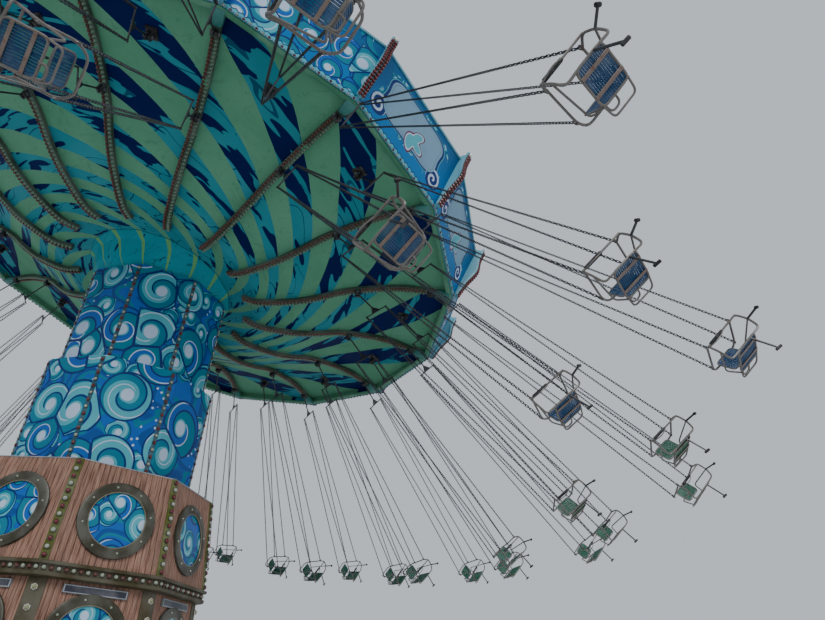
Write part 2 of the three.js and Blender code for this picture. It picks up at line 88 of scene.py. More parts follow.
# Places that the frame gives.
JOINTS = {joint["name"]: joint for joint in frame["joints"]}
RINGS = ("outer", "middle", "inner")
CROWN_AXIS = unit(JOINTS["crown_spin"]["axis"])
CROWN_X = unit(np.cross((0, 1, 0), CROWN_AXIS))
CROWN_Y = np.cross(CROWN_AXIS, CROWN_X)
RIM_CENTRE = np.array(JOINTS["crown_spin"]["pos_m"])
FIRST_PIN = np.array(JOINTS["swing_outer_01"]["pos_m"]) - RIM_CENTRE
FIRST_RIB = math.atan2(FIRST_PIN @ CROWN_Y, FIRST_PIN @ CROWN_X)
LOWER_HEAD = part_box("base_lower_tier")[1].z
CORNICE_FOOT, CORNICE_HEAD = (corner.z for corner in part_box("base_cornice"))
UPPER_FOOT, UPPER_HEAD = (corner.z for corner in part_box("base_upper_tier"))
ROOF_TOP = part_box("base_roof")[1].z
LOWER_SLEEVE_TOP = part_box("lower_sleeve")[1].z

# The base. A tier is its corners' radius and height at the foot, and the same at the head.
FACES = 8
HALF_FACE = math.pi / FACES
BASE_TURN = math.radians(-101.2)
CORNER_ANGLES = BASE_TURN + even_angles(FACES)
FACE_ANGLES = BASE_TURN + even_angles(FACES, 0.5)
LOWER_HEAD_RADIUS = 2.0
ROOF_RADIUS = 1.9
TIERS = {
    "lower": (2.2, 0.0, LOWER_HEAD_RADIUS, LOWER_HEAD),
    "upper": (2.089, UPPER_FOOT, ROOF_RADIUS, ROOF_TOP),
}
BOARD_MARGIN = {"lower": 0.085, "upper": 0.05}
STRIP_HALF = {"lower": 0.12, "upper": 0.058}
STRIP_PAINT = {"lower": "bronze_paint", "upper": "olive_paint"}
STRIP_THICKNESS = 0.03
CORNICE_RADIUS = 2.15
CORNICE_INSIDE = 1.95

# The portholes. A section is distance from the middle and height off the face.
PORTHOLE_HEIGHT = {"lower": 1.84, "upper": (UPPER_FOOT + UPPER_HEAD) / 2}
PORTHOLE_SIDES = 40
PORTHOLE_PANE = 0.40
RING_SECTION = (
    (PORTHOLE_PANE, 0.0),
    (PORTHOLE_PANE, 0.046),
    (0.415, 0.056),
    (0.535, 0.056),
    (0.549, 0.048),
    (0.552, 0.0),
)
PANE_SECTION = ((PORTHOLE_PANE + 0.002, 0.02), (PORTHOLE_PANE + 0.002, 0.033), (0.3, 0.036), (0.02, 0.038))
STUD_SECTION = ((0.018, 0.05), (0.017, 0.062), (0.012, 0.07), (0.005, 0.073))
STUDS = 8
STUD_CIRCLE = 0.476

# The tower's planed corners.
TOWER_TURN = math.radians(-66.85)
LOWER_SLEEVE_RADIUS = 1.546
UPPER_SLEEVE_RADIUS = 1.374
UPPER_SLEEVE_TOP = 8.045
CORNER_CUT = 0.035
LIGHT_STRIP_HALF = 0.036

# The crown, as radius and height over the rim plane.
RIBS = 16
BAY = TURN / RIBS
RIB_ANGLES = FIRST_RIB + np.arange(RIBS) * BAY
RIB_LINE = (
    (1.83, -1.105),
    (2.2, -1.15),
    (2.9, -0.97),
    (3.4, -0.74),
    (3.8, -0.51),
    (4.3, -0.32),
    (5.0, -0.15),
    (5.94, -0.095),
)
FIN_EDGE = ((6.11, -0.09), (6.23, 0.26), (6.40, 0.64), (6.41, 0.98), (6.47, 1.30))
FASCIA_FOOT = (6.045, -0.12)
FASCIA_HEAD = (6.30, 1.20)
RIM_SECTION = (
    (5.895, -0.118),
    (5.905, -0.142),
    (5.93, -0.152),
    (5.985, -0.152),
    (6.0, -0.142),
    (6.0, -0.118),
)
ROOF_RIDGE = ((0.42, 1.75), (6.17, 1.142))
CAP_SECTION = ((0.47, 1.735), (0.47, 1.79), (0.44, 1.81), (0.33, 1.86), (0.18, 1.885), (0.03, 1.892))

# Scallops along a bay, and the radii that the ceiling's swirl and the fascia's curls are laid out by.
SCALLOPS = 22
SWIRL_RADIUS = 5.0
PANEL_RADIUS = 6.2

# Edges that carry two rows of bulbs: half an edge's width, and the rows' height over its line.
EDGE_HALF = 0.066
ROW_HEIGHT = 0.012

# Radii along a rib: the lugs that its bulbs keep clear of, and the end of the rows.
RIB_LUGS = (4.1, 5.55)
LUG_CLEARANCE = 0.08
RIB_BULBS_END = 5.62

# A bracket's sections, as radius, half the width, top and foot.
BRACKET_SECTIONS = (
    (5.66, 0.06, -0.10, -0.155),
    (5.70, 0.085, -0.09, -0.178),
    (5.90, 0.105, -0.09, -0.186),
    (5.96, 0.105, -0.09, -0.16),
)
BRACKET_BEVEL = 0.015

# The chairs, in a chair's own frame: origin on the pin, chains down -Z, X outward, the seat's front at -Y.
# A flight is in degrees off the crown's axis, and it is larger by the lean toward the crown's low side.
FLIGHT = {"outer": 52.3, "middle": 48.9, "inner": 46.2}
FLIGHT_LEAN = 9.6
LEAN_TOWARD = math.atan2(CROWN_AXIS[1], CROWN_AXIS[0])

# The bays between which the seats are green.
GREEN_BAYS = (1.45, 9.45)

# Over the pin its cheeks rise to their head. Below it the stem ends at the spreader, and a chair's reach
# is how far down its seat is.
CHEEK_HEAD = {"outer": 0.07, "middle": 0.13, "inner": 0.09}
CHEEK_INSIDE = 0.015
CHEEK_OUTSIDE = 0.0585
CHEEK_HALF = 0.05
STEM = 0.6
REACH = {"outer": 6.12, "middle": 6.08, "inner": 5.91}

# The chains: how far to each side they hang, and their lower ends as Y and height over the seat.
CHAIN_PLANE = 0.237
CHAIN_FRONT = (-0.175, 0.352)
CHAIN_REAR = (0.175, 0.277)
LINK_HALF = 0.0115

# The chair's tubes on its side of positive X, as X, Y and height over the seat.
TOP_RAIL = ((0.237, -0.185, 0.354), (0.237, 0.185, 0.275), (0.165, 0.29, 0.28))
BOW = (
    (0.14, -0.247, 0.022),
    (0.285, -0.236, 0.028),
    (0.29, -0.282, 0.165),
    (0.279, -0.273, 0.315),
    (0.237, -0.165, 0.35),
)
ELBOW = (0.288, -0.28, 0.165)
MIDDLE_RAIL = (ELBOW, (0.203, 0.163, 0.135), (0.165, 0.113, -0.022))
SEAT_LOOP = ((0.165, -0.249, 0.024), (0.165, 0.113, -0.024))
BACK_LOOP = ((0.148, 0.135, 0.05), (0.148, 0.198, 0.29))
BAR_END = (0.28, -0.273, 0.31)

# Half the grip's length on the front bar, and the radius of the eyes that the chains end in.
GRIP_HALF = 0.12
EYE_RADIUS = 0.026

# A chair's finishes, by their places in its list. The first, 0, is the frame's tube.
SEAT, STRAP, STEEL, GRIP = range(1, 5)

# The photograph's view.
PHOTO_SIZE = (825, 620)
CAMERA_PLACE = (0.0, -12.38, 1.6)
CAMERA_FOCUS_PIXELS = 627.1
CAMERA_YAW = math.radians(25.01)
CAMERA_PITCH = math.radians(30.76)
CAMERA_ROLL = math.radians(4.24)
SENSOR = 36.0

# The studio. A light is its name, strength, spread in degrees and direction.
FLOOR_HALF = 70.0
FLOOR_DEPTH = 0.004
SKY_COLOUR = (0.80, 0.86, 0.94, 1.0)
SKY_STRENGTH = 0.75
LIGHTS = (("key", 2.2, 25.0, (0.35, 0.75, -0.75)), ("fill", 0.5, 60.0, (-0.6, 0.5, -0.2)))


def paint(red, green, blue):
    """A colour given from 0 to 255 as a screen shows it, as the linear values that a shader takes."""
    share = np.array((red, green, blue)) / 255
    linear = np.where(share <= 0.04045, share / 12.92, ((share + 0.055) / 1.055) ** 2.4)
    return tuple(float(value) for value in linear)


RUST = paint(96, 58, 36)
SPLASH_EDGE = paint(92, 40, 58)


def colour_setting(name, description, red, green, blue):
    """A colour that a user would change, given from 0 to 255 as a screen shows it."""
    return FloatVectorProperty(
        name=name,
        description=description,
        subtype="COLOR",
        size=3,
        min=0,
        max=1,
        default=paint(red, green, blue),
    )


def length_setting(name, description, default, low):
    """A length that a user would change."""
    return FloatProperty(name=name, description=description, default=default, min=low, unit="LENGTH")


class SwingRideSizes(bpy.types.PropertyGroup):
    """Sizes of what repeats over the ride."""

    bulb_radius: length_setting("Bulb radius", "Radius of a small bulb's dome", 0.021, 0.005)
    bulb_pitch: length_setting("Bulb pitch", "Distance between bulbs in a row", 0.125, 0.05)
    board_count: IntProperty(
        name="Boards a face", description="Upright boards on each face of the base", default=17, min=4, max=60
    )
    chain_pitch: length_setting("Chain pitch", "Length that each link adds to a chain", 0.042, 0.02)
    chain_wire: length_setting("Chain wire", "Radius of a link's wire", 0.0066, 0.001)
    tube_radius: length_setting("Chair tube", "Radius of the chair frame's tube", 0.013, 0.005)


class SwingRideColours(bpy.types.PropertyGroup):
    """Colours of the ride's finishes."""

    board: colour_setting("Board", "The base's reddish boards", 146, 108, 88)
    board_dark: colour_setting("Board grain", "Dark lines in the boards", 80, 50, 40)
    olive: colour_setting("Olive", "Corner strips of the base's upper tier", 76, 84, 24)
    bronze: colour_setting("Cornice", "Cornice and lower corner strips", 66, 60, 38)
    ring: colour_setting("Porthole ring", "Rings of the portholes", 58, 56, 44)
    deep_blue: colour_setting("Deep blue", "Outlines of the curls", 2, 36, 96)
    bright_blue: colour_setting("Bright blue", "Ground of the curls", 0, 82, 158)
    teal: colour_setting("Teal", "Inner band of the curls", 0, 106, 130)
    light_teal: colour_setting("Light teal", "Outer band of the curls", 70, 152, 166)
    foam: colour_setting("Foam", "Hearts of the curls and their pale lines", 164, 182, 204)
    strip: colour_setting("Corner strip", "Strips at the tower's corners", 26, 74, 92)
    sage: colour_setting("Sage", "Wound bands of the ceiling", 77, 145, 112)
    ceiling_teal: colour_setting("Ceiling teal", "Ground of the ceiling", 4, 130, 146)
    navy: colour_setting("Navy", "Dark tongues of the ceiling", 2, 22, 74)
    streak: colour_setting("Streak", "Tapering streaks on the neck", 92, 150, 98)
    rib: colour_setting("Rib", "Light channels under the ribs", 60, 78, 66)
    fascia: colour_setting("Fascia", "Ground of the fascia panels", 0, 98, 156)
    fin: colour_setting("Fin", "Fins between the panels", 88, 148, 166)
    slate: colour_setting("Slate", "Pale field in two panels of every four", 106, 140, 162)
    roof: colour_setting("Roof", "Sheets of the roof", 128, 144, 150)
    bulb_white: colour_setting("White bulb", "Pale bulbs", 236, 236, 226)
    bulb_red: colour_setting("Red bulb", "Dark red bulbs", 92, 16, 22)
    tube: colour_setting("Chair tube", "Frames of the chairs", 98, 94, 90)
    seat_blue: colour_setting("Blue seat", "Seats of the blue chairs", 4, 58, 98)
    seat_green: colour_setting("Green seat", "Seats of the green chairs", 12, 88, 66)
    strap: colour_setting("Strap", "Bars under the seats", 106, 90, 82)
    chain: colour_setting("Chain", "Chains and rods", 40, 44, 52)


# Shapes as arrays.
class Shape:
    """Points, lists of faces with one corner count each, a finish number, and each point's local place."""

    def __init__(self, points, faces, finish=0, local=None):
        self.points = np.asarray(points, float).reshape(-1, 3)
        self.faces = [np.asarray(corners, int) for corners in faces]
        self.finish = finish
        self.local = self.points if local is None else np.asarray(local, float).reshape(-1, 3)

    def outward(self):
        """Turns every face round if the shape's signed volume, a sum of tetrahedra, is negative."""
        volume = 0.0
        for corners in self.faces:
            points = self.points[corners]
            volume += np.einsum("ij,ikj->", points[:, 0], np.cross(points[:, 1:-1], points[:, 2:]))
        if volume < 0:
            self.faces = [corners[:, ::-1] for corners in self.faces]
        return self


def loft(sections, finish=0, ring=False, local=None):
    """Closed sections skinned one after another: an array of (copies, rows, columns, 3), in which row
    after row is joined by quads. A ring joins its last row to its first, otherwise flat ends close it."""
    sections = np.asarray(sections, float)
    sections = sections.reshape((-1,) + sections.shape[-3:])
    copies, rows, columns = sections.shape[:3]
    index = np.arange(copies * rows * columns).reshape(copies, rows, columns)
    lower = index if ring else index[:, :-1]
    upper = np.roll(index, -1, axis=1) if ring else index[:, 1:]
    quads = np.stack([lower, np.roll(lower, -1, 2), np.roll(upper, -1, 2), upper], axis=-1).reshape(-1, 4)
    faces = [quads] if ring else [quads, index[:, 0, ::-1], index[:, -1]]
    return Shape(sections, faces, finish, local).outward()


def carry(path, profile, side, out, finish=0, ring=False):
    """A profile carried along a path: point (a, b) of the profile goes to path + a side + b out."""
    path = np.asarray(path, float)
    profile = np.asarray(profile, float)
    side = np.broadcast_to(side, path.shape)[:, None]
    out = np.broadcast_to(out, path.shape)[:, None]
    return loft(path[:, None] + profile[None, :, :1] * side + profile[None, :, 1:] * out, finish, ring)


def tube(path, radius, sides=6, finish=0, ring=False, flat=None):
    """A circle carried along a path: its plane holds a direction that the path never runs along, which is
    the normal of the path's best-fitting plane where no other is given."""
    path = np.asarray(path, float)
    ahead = np.roll(path, -1, 0) - np.roll(path, 1, 0) if ring else np.gradient(path, axis=0)
    flat = np.linalg.svd(path - path.mean(0), full_matrices=True)[2][2] if flat is None else flat
    side = unit(np.cross(ahead, flat))
    circle = radius * spokes(even_angles(sides))[:, :2]
    return carry(path, circle, side, unit(np.cross(side, ahead)), finish, ring)


def lathe(profile, sides, finish=0):
    """A profile of (radius, height) turned about Z, with flat ends; no radius is zero."""
    radius, height = np.asarray(profile, float).T
    circle = spokes(even_angles(sides))
    return loft(radius[:, None, None] * circle + height[:, None, None] * UP, finish)


def block(low, high, cut=0.0, finish=0):
    """A box between two corners, with the four edges along its longest side cut at 45 degrees."""
    low, high = np.asarray(low, float), np.asarray(high, float)
    long = int(np.argmax(high - low))
    a, b = [axis for axis in range(3) if axis != long]
    half = (high - low) / 2
    u, v = half[a], half[b]
    outline = [(u, v - cut), (u - cut, v), (cut - u, v), (-u, v - cut)] if cut else [(u, v), (-u, v)]
    outline = np.array(outline + [(-x, -y) for x, y in outline])
    section = np.zeros((len(outline), 3))
    section[:, a], section[:, b] = outline.T
    ends = np.zeros((2, 1, 3))
    ends[:, 0, long] = (-half[long], half[long])
    return loft((low + high) / 2 + section + ends, finish)


def repeat(shape, origins, across, along, up):
    """Copies of a shape, each in a frame of its own: (x, y, z) goes to origin + x across + y along + z up."""
    rows = [np.atleast_2d(row) for row in (origins, across, along, up)]
    origins, across, along, up = np.broadcast_arrays(*rows)
    x, y, z = (shape.points[None, :, axis, None] for axis in range(3))
    points = origins[:, None] + x * across[:, None] + y * along[:, None] + z * up[:, None]
    start = (np.arange(len(origins)) * len(shape.points))[:, None, None]
    faces = [(corners[None] + start).reshape(-1, corners.shape[1]) for corners in shape.faces]
    return Shape(points, faces, shape.finish, np.tile(shape.local, (len(origins), 1)))


def around(shapes, angles):
    """Copies of shapes turned about Z by each angle."""
    across = spokes(angles)
    along = np.cross(UP, across)
    return [repeat(shape, np.zeros(3), across, along, UP) for shape in shapes]


def on_crown(shapes):
    """Shapes of the crown's frame in the model's frame."""
    return [repeat(shape, RIM_CENTRE, CROWN_X, CROWN_Y, CROWN_AXIS) for shape in shapes]


def on_ribs(shapes):
    """Copies of shapes in the plane of every rib, in the model's frame."""
    return on_crown(around(shapes, RIB_ANGLES))


def mirrored(half):
    """A path over both sides: one half of it, and then the same points in reverse with X turned over."""
    half = np.asarray(half, float)
    return np.vstack([half, half[::-1] * (-1, 1, 1)])


def rounded(corners, cut, steps=4, ring=False):
    """A path through corners, each replaced by a parabola's arc that starts and ends a cut away from it."""
    corners = np.asarray(corners, float)
    before, after = np.roll(corners, 1, 0) - corners, np.roll(corners, -1, 0) - corners
    start, end = corners + unit(before) * cut, corners + unit(after) * cut
    t = np.linspace(0, 1, steps)[None, :, None]
    arcs = (1 - t) ** 2 * start[:, None] + 2 * t * (1 - t) * corners[:, None] + t**2 * end[:, None]
    if ring:
        return arcs.reshape(-1, 3)
    return np.vstack([corners[:1], arcs[1:-1].reshape(-1, 3), corners[-1:]])


def eased(points, steps=5):
    """A cubic curve through points: between two of them it leaves and arrives along their mean slopes."""
    points = np.asarray(points, float)
    slope = np.gradient(points, axis=0)
    t = np.linspace(0, 1, steps, endpoint=False)[None, :, None]
    curve = (
        (2 * t**3 - 3 * t**2 + 1) * points[:-1, None]
        + (t**3 - 2 * t**2 + t) * slope[:-1, None]
        + (3 * t**2 - 2 * t**3) * points[1:, None]
        + (t**3 - t**2) * slope[1:, None]
    )
    return np.vstack([curve.reshape(-1, points.shape[1]), points[-1:]])


def spaced(path, pitch):
    """Points at an even pitch along a path, and the path's direction at each. The row starts and stops
    half a pitch from the ends."""
    path = np.asarray(path, float)
    length = np.concatenate([[0.0], np.cumsum(np.linalg.norm(np.diff(path, axis=0), axis=1))])
    count = max(1, int(round((length[-1] - pitch) / pitch)) + 1)
    places = np.linspace(pitch / 2, length[-1] - pitch / 2, count)
    step = pitch * 0.01

    def at(where):
        return np.stack([np.interp(where, length, path[:, axis]) for axis in range(3)], axis=1)

    return at(places), unit(at(places + step) - at(places - step))


def bulbs(points, out, radius, finishes, height=1.0):
    """Bulbs in short sockets at given points, facing out. A bulb is a dome of three circles, and every
    second one has another finish. The height stretches the dome."""
    out = np.broadcast_to(unit(out), np.shape(points))
    across = unit(np.cross(out, np.where(np.abs(out[:, :1]) < 0.8, (1.0, 0.0, 0.0), (0.0, 1.0, 0.0))))
    along = np.cross(out, across)
    socket, even, odd = finishes
    sides, brim = 6, 0.35
    cup = lathe([(1.2 * radius, -0.2 * radius), (1.2 * radius, brim * radius)], sides, socket)
    rows = ((1.0, brim), (0.85, brim + 0.55 * height), (0.4, brim + 0.9 * height))
    dome = lathe([(share * radius, rise * radius) for share, rise in rows], sides, even)
    other = Shape(dome.points, dome.faces, odd)
    made = [repeat(cup, points, across, along, out)]
    for start, shape in ((0, dome), (1, other)):
        if len(points) > start:
            made.append(repeat(shape, points[start::2], across[start::2], along[start::2], out[start::2]))
    return made


# Finishes as shader nodes.
class Socket:
    """One output of a shader node. Arithmetic on it adds Math nodes."""

    def __init__(self, finish, output):
        self.finish = finish
        self.output = output

    def other(self, name):
        """Another output of the same node."""
        return Socket(self.finish, self.output.node.outputs[name])

    def math(self, operation, *others):
        """A Math node on this value and others."""
        return self.finish.node("Math", {"operation": operation}, dict(enumerate((self, *others))))

    def __add__(self, value):
        return self.math("ADD", value)

    def __sub__(self, value):
        return self.math("SUBTRACT", value)

    def __rsub__(self, value):
        return self.finish.node("Math", {"operation": "SUBTRACT"}, {0: value, 1: self})

    def __mul__(self, value):
        return self.math("MULTIPLY", value)

    def __truediv__(self, value):
        return self.math("DIVIDE", value)

    def __rtruediv__(self, value):
        return self.finish.node("Math", {"operation": "DIVIDE"}, {0: value, 1: self})

    def __gt__(self, value):
        return self.math("GREATER_THAN", value)

    def __lt__(self, value):
        return self.math("LESS_THAN", value)

    def __abs__(self):
        return self.math("ABSOLUTE")

    __radd__ = __add__
    __rmul__ = __mul__


class Finish:
    """A material in the making. Each method adds nodes to its tree and returns a socket of the last."""

    def __init__(self, name):
        self.material = bpy.data.materials.new(name)
        self.material.use_nodes = True
        self.tree = self.material.node_tree
        self.shader = self.tree.nodes["Principled BSDF"]

    def join(self, value, socket):
        """Links a socket's output, or sets a number, vector or colour."""
        if isinstance(value, Socket):
            self.tree.links.new(value.output, socket)
        elif socket.type == "RGBA":
            socket.default_value = (*tuple(value)[:3], 1.0)
        else:
            socket.default_value = value

    def node(self, kind, settings, sockets, output=0):
        """Adds a node: its settings first, a ramp's stops among them, and then its sockets."""
        made = self.tree.nodes.new("ShaderNode" + kind)
        for key, value in settings.items():
            if key == "stops":
                ramp = made.color_ramp
                ramp.interpolation = "CONSTANT"
                while len(ramp.elements) < len(value):
                    ramp.elements.new(1.0)
                for element, (place, colour) in zip(ramp.elements, value):
                    element.position = place
                    element.color = (*tuple(colour)[:3], 1.0)
            else:
                setattr(made, key, value)
        for key, value in sockets.items():
            self.join(value, made.inputs[key])
        return Socket(self, made.outputs[output])

    def mix(self, share, first, second):
        """The first colour at share 0, the second at share 1."""
        return self.node("Mix", {"data_type": "RGBA"}, {0: share, 6: first, 7: second}, 2)

    def noise(self, place, scale, detail=2.0, distortion=0.0):
        """Smooth noise from 0 to 1 at a place."""
        inputs = {"Vector": place, "Scale": scale, "Detail": detail, "Distortion": distortion}
        return self.node("TexNoise", {}, inputs)

    def between(self, value, low, high):
        """0 below low, 1 above high, and a smooth step between them. A low above the high turns it round."""
        inputs = {"Value": value, "From Min": low, "From Max": high}
        return self.node("MapRange", {"interpolation_type": "SMOOTHSTEP"}, inputs)

    def vector(self, x, y, z):
        """Three numbers as one place."""
        return self.node("CombineXYZ", {}, {0: x, 1: y, 2: z})

    def axes(self, place):
        """The three numbers of a place."""
        x = self.node("SeparateXYZ", {}, {0: place})
        return x, x.other("Y"), x.other("Z")

    def here(self):
        """The place on the ride."""
        return self.node("TexCoord", {}, {}, "Object")

    def local(self):
        """The place on a repeated piece before it was repeated."""
        return self.node("Attribute", {"attribute_name": "local"}, {}, "Vector")

    def on_crown(self):
        """The place in the crown's frame."""
        turn = Matrix((CROWN_X, CROWN_Y, CROWN_AXIS))
        shift = -(turn @ Vector(RIM_CENTRE))
        sockets = {"Vector": self.here(), "Location": shift, "Rotation": turn.to_euler()}
        return self.node("Mapping", {"vector_type": "POINT"}, sockets)

    def length(self, x, y):
        """The root of x squared plus y squared."""
        return self.node("VectorMath", {"operation": "LENGTH"}, {0: self.vector(x, y, 0.0)}, "Value")

    def art(self, colour, scale, detail, roughness, depth, coat, gloss):
        """Feeds the shader for painted art, which fine noise makes uneven in its gloss and its relief."""
        grain = self.noise(self.here(), scale, detail)
        return self.surface(colour, grain * 0.2 + roughness, 0.0, grain, depth, coat, gloss)

    def surface(self, colour, roughness=0.5, metallic=0.0, height=None, depth=0.002, coat=0.0, gloss=0.2):
        """Feeds the shader and returns the material. Height is a relief, depth its size in metres."""
        self.shader.inputs["Specular IOR Level"].default_value = gloss
        self.join(colour, self.shader.inputs["Base Color"])
        self.join(roughness, self.shader.inputs["Roughness"])
        self.join(metallic, self.shader.inputs["Metallic"])
        self.shader.inputs["Coat Weight"].default_value = coat
        if height is not None:
            relief = self.node("Bump", {}, {"Strength": 0.7, "Distance": depth, "Height": height})
            self.join(relief, self.shader.inputs["Normal"])
        return self.material


def darker(colour, share):
    """A colour cut to a share of itself."""
    return tuple(channel * share for channel in tuple(colour)[:3])


def lighter(colour, share):
    """A colour taken a share of the way to white."""
    return tuple(channel + (1 - channel) * share for channel in tuple(colour)[:3])


def painted(name, colour, roughness=0.4, metallic=0.0, patch=1.5, wear=0.35, coat=0.0):
    """Weathered paint: wide soft patches, rain streaks down it, and fine grain in its gloss."""
    f = Finish(name)
    place = f.here()
    x, y, z = f.axes(place)
    patches = f.noise(place, patch, 3.0)
    streaks = f.noise(f.vector(x, y, z * 0.12), patch * 9, 3.0)
    grain = f.noise(place, 140.0, 2.0)
    tone = f.mix(f.between(patches, 0.35, 0.7), darker(colour, 0.82), lighter(colour, 0.05))
    tone = f.mix(f.between(streaks, 0.58, 0.8) * wear, tone, darker(colour, 0.5))
    return f.surface(tone, grain * 0.25 + (roughness - 0.1), metallic, grain, 0.0006, coat)


def worn_metal(name, colour, metallic=0.6, rust=0.25):
    """Bare or thinly painted metal with rust-brown spots where it has worn through."""
    f = Finish(name)
    place = f.here()
    spots = f.between(f.noise(place, 22.0, 5.0), 0.56, 0.68) * rust
    grain = f.noise(place, 260.0, 2.0)
    tone = f.mix(f.noise(place, 6.0, 3.0), darker(colour, 0.75), lighter(colour, 0.08))
    tone = f.mix(spots, tone, RUST)
    return f.surface(tone, grain * 0.25 + 0.3 + spots * 0.6, metallic * (1 - spots), grain, 0.0004)


def glass_bulb(name, colour):
    """A moulded bulb cap: fine ribs round it and a little dust."""
    f = Finish(name)
    place = f.here()
    dust = f.noise(place, 45.0, 4.0)
    x, y = f.axes(f.local())[:2]
    flutes = (f.node("Math", {"operation": "ARCTAN2"}, {0: y, 1: x}) * 12).math("SINE")
    tone = f.mix(f.between(dust, 0.5, 0.8) * 0.5, colour, darker(lighter(colour, 0.2), 0.6))
    return f.surface(tone, dust * 0.25 + 0.08, 0.0, flutes, 0.001, 0.5)


def boards_finish(name, c):
    """Upright boards: each board its own tone, fine dark grain lines running up it, and knots pulled long."""
    f = Finish(name)
    across, number, up = f.axes(f.local())
    tone = f.node("TexWhiteNoise", {"noise_dimensions": "1D"}, {"W": number + 0.5})
    shift = number * 3.7
    fine = f.noise(f.vector(across + shift, 0.0, up * 0.02), 160.0, 3.0)
    wide = f.noise(f.vector(across + shift, 1.0, up * 0.04), 42.0, 3.0, 0.6)
    colour = f.mix(tone * 0.55, c.board, darker(c.board, 0.62))
    colour = f.mix(f.between(wide, 0.42, 0.62) * 0.6, colour, c.board_dark)
    colour = f.mix(f.between(fine, 0.49, 0.62) * 0.8, colour, c.board_dark)
    colour = f.mix(f.between(fine, 0.6, 0.3) * 0.25, colour, lighter(c.board, 0.3))
    return f.surface(colour, fine * 0.3 + 0.45, 0.0, 1 - fine, 0.003)


def curls(f, u, v, size, seed, reach, share, ground, c):
    """Wound curls on a ground: scattered points split the plane into cells, and round each cell's point
    a band winds outward, so that its colour is a function of the distance plus the angle. A pale heart
    lies in the middle, a dark line round the rim and between cells. A share of the cells has a curl. The
    reach is a curl's mean radius as a share of the size."""
    place = f.vector(u / size + seed, v / size, 0.0)
    inputs = {"Vector": place, "Scale": 1.0, "Randomness": 0.85}
    nearest = {"voronoi_dimensions": "2D", "feature": "F1"}
    border = {"voronoi_dimensions": "2D", "feature": "DISTANCE_TO_EDGE"}
    point = f.node("TexVoronoi", nearest, inputs, "Position")
    edge = f.node("TexVoronoi", border, inputs, "Distance")
    chance = f.node("SeparateColor", {}, {0: point.other("Color")}, "Red")
    hand = (chance.other("Green") > 0.5) * 2 - 1
    x, y = f.axes(f.node("VectorMath", {"operation": "SUBTRACT"}, {0: place, 1: point}))[:2]
    distance = point.other("Distance") / ((chance.other("Blue") * 0.5 + 0.75) * reach)
    angle = y.math("ARCTAN2", x) / TURN
    wound = (distance * 1.35 - angle * hand + chance * 5).math("FRACT")
    outline = ((0.0, c.deep_blue), (0.95, c.deep_blue))
    pale = ((0.05, c.light_teal), (0.36, c.foam), (0.42, c.light_teal), (0.62, c.teal))
    bright = ((0.05, c.bright_blue), (0.34, c.foam), (0.41, c.teal))
    first, second = (outline[:1] + stripes + outline[1:] for stripes in (pale, bright))
    band = f.mix(
        chance > 0.45,
        f.node("ValToRGB", {"stops": first}, {0: wound}),
        f.node("ValToRGB", {"stops": second}, {0: wound}),
    )
    off = angle * hand + chance * 3
    heart_rim = (off * TURN).math("SINE") * 0.07 + 0.25
    band = f.mix(distance < heart_rim + 0.06, band, c.light_teal)
    band = f.mix(distance < heart_rim, band, c.foam)
    band = f.mix(distance > 0.93, band, c.deep_blue)
    band = f.mix(edge < 0.03, band, c.deep_blue)
    shown = (distance < 1.0) * (chance < share)
    return f.mix(shown, ground, band)


def sea_ground(f, u, v, c):
    """A blue ground in flowing bands: level lines of smooth noise."""
    swell = f.noise(f.vector(u * 0.7, v, 3.0), 1.1, 1.0, 0.4)
    level = (swell * 9).math("FRACT")
    shades = [c.bright_blue, darker(c.bright_blue, 0.62), darker(c.bright_blue, 0.8), c.teal]
    stops = list(zip((0.0, 0.42, 0.7, 0.78), shades))
    return f.node("ValToRGB", {"stops": stops}, {0: level})


def curl_field(f, u, v, size, seed, c):
    """Large curls over small ones over dots, on the sea ground."""
    dots = f.vector(u / (size * 0.2) + seed, v / (size * 0.2), 5.0)
    inputs = {"Vector": dots, "Scale": 1.0, "Randomness": 0.9}
    dot = f.node("TexVoronoi", {"voronoi_dimensions": "2D"}, inputs)
    crowded = f.noise(f.vector(u, v, seed), 1.3, 1.0) > 0.52
    ground = f.mix((dot < 0.13) * crowded, sea_ground(f, u, v, c), c.foam)
    small = curls(f, u, v, size * 0.5, seed + 11.0, 0.56, 0.5, ground, c)
    return curls(f, u, v, size, seed, 0.53, 1.0, small, c)


def sleeve_finish(name, radius, c):
    """A painted sleeve: the curl field wound round the tower."""
    f = Finish(name)
    place = f.here()
    x, y, z = f.axes(place)
    u = y.math("ARCTAN2", x) * radius
    colour = curl_field(f, u, z, 0.82, 3.0, c)
    fade = f.noise(place, 1.7, 4.0)
    colour = f.mix(f.between(fade, 0.4, 0.75) * 0.18, colour, darker(c.deep_blue, 0.7))
    return f.art(colour, 90.0, 2.0, 0.3, 0.0006, 0.05, 0.15)


def pane_finish(name, c):
    """A porthole's painted pane: curls on the sea ground, different on every face."""
    f = Finish(name)
    x, y, z = f.axes(f.here())
    u = y.math("ARCTAN2", x) * LOWER_HEAD_RADIUS
    colour = curls(f, u * 1.07, z, 0.45, 8.0, 0.56, 1.0, sea_ground(f, u, z, c), c)
    return f.art(colour, 60.0, 3.0, 0.3, 0.0005, 0.1, 0.15)


def crown_polar(f):
    """Distance from the crown's axis, bays from the first rib, height over the rim plane, and angle."""
    x, y, z = f.axes(f.on_crown())
    angle = y.math("ARCTAN2", x)
    return f.length(x, y), (angle - FIRST_RIB) / BAY, z, angle


def inward_log(radius):
    """The logarithm of how many times nearer the axis than the swirl's own radius a place lies."""
    return (SWIRL_RADIUS / radius).math("LOGARITHM", math.e)


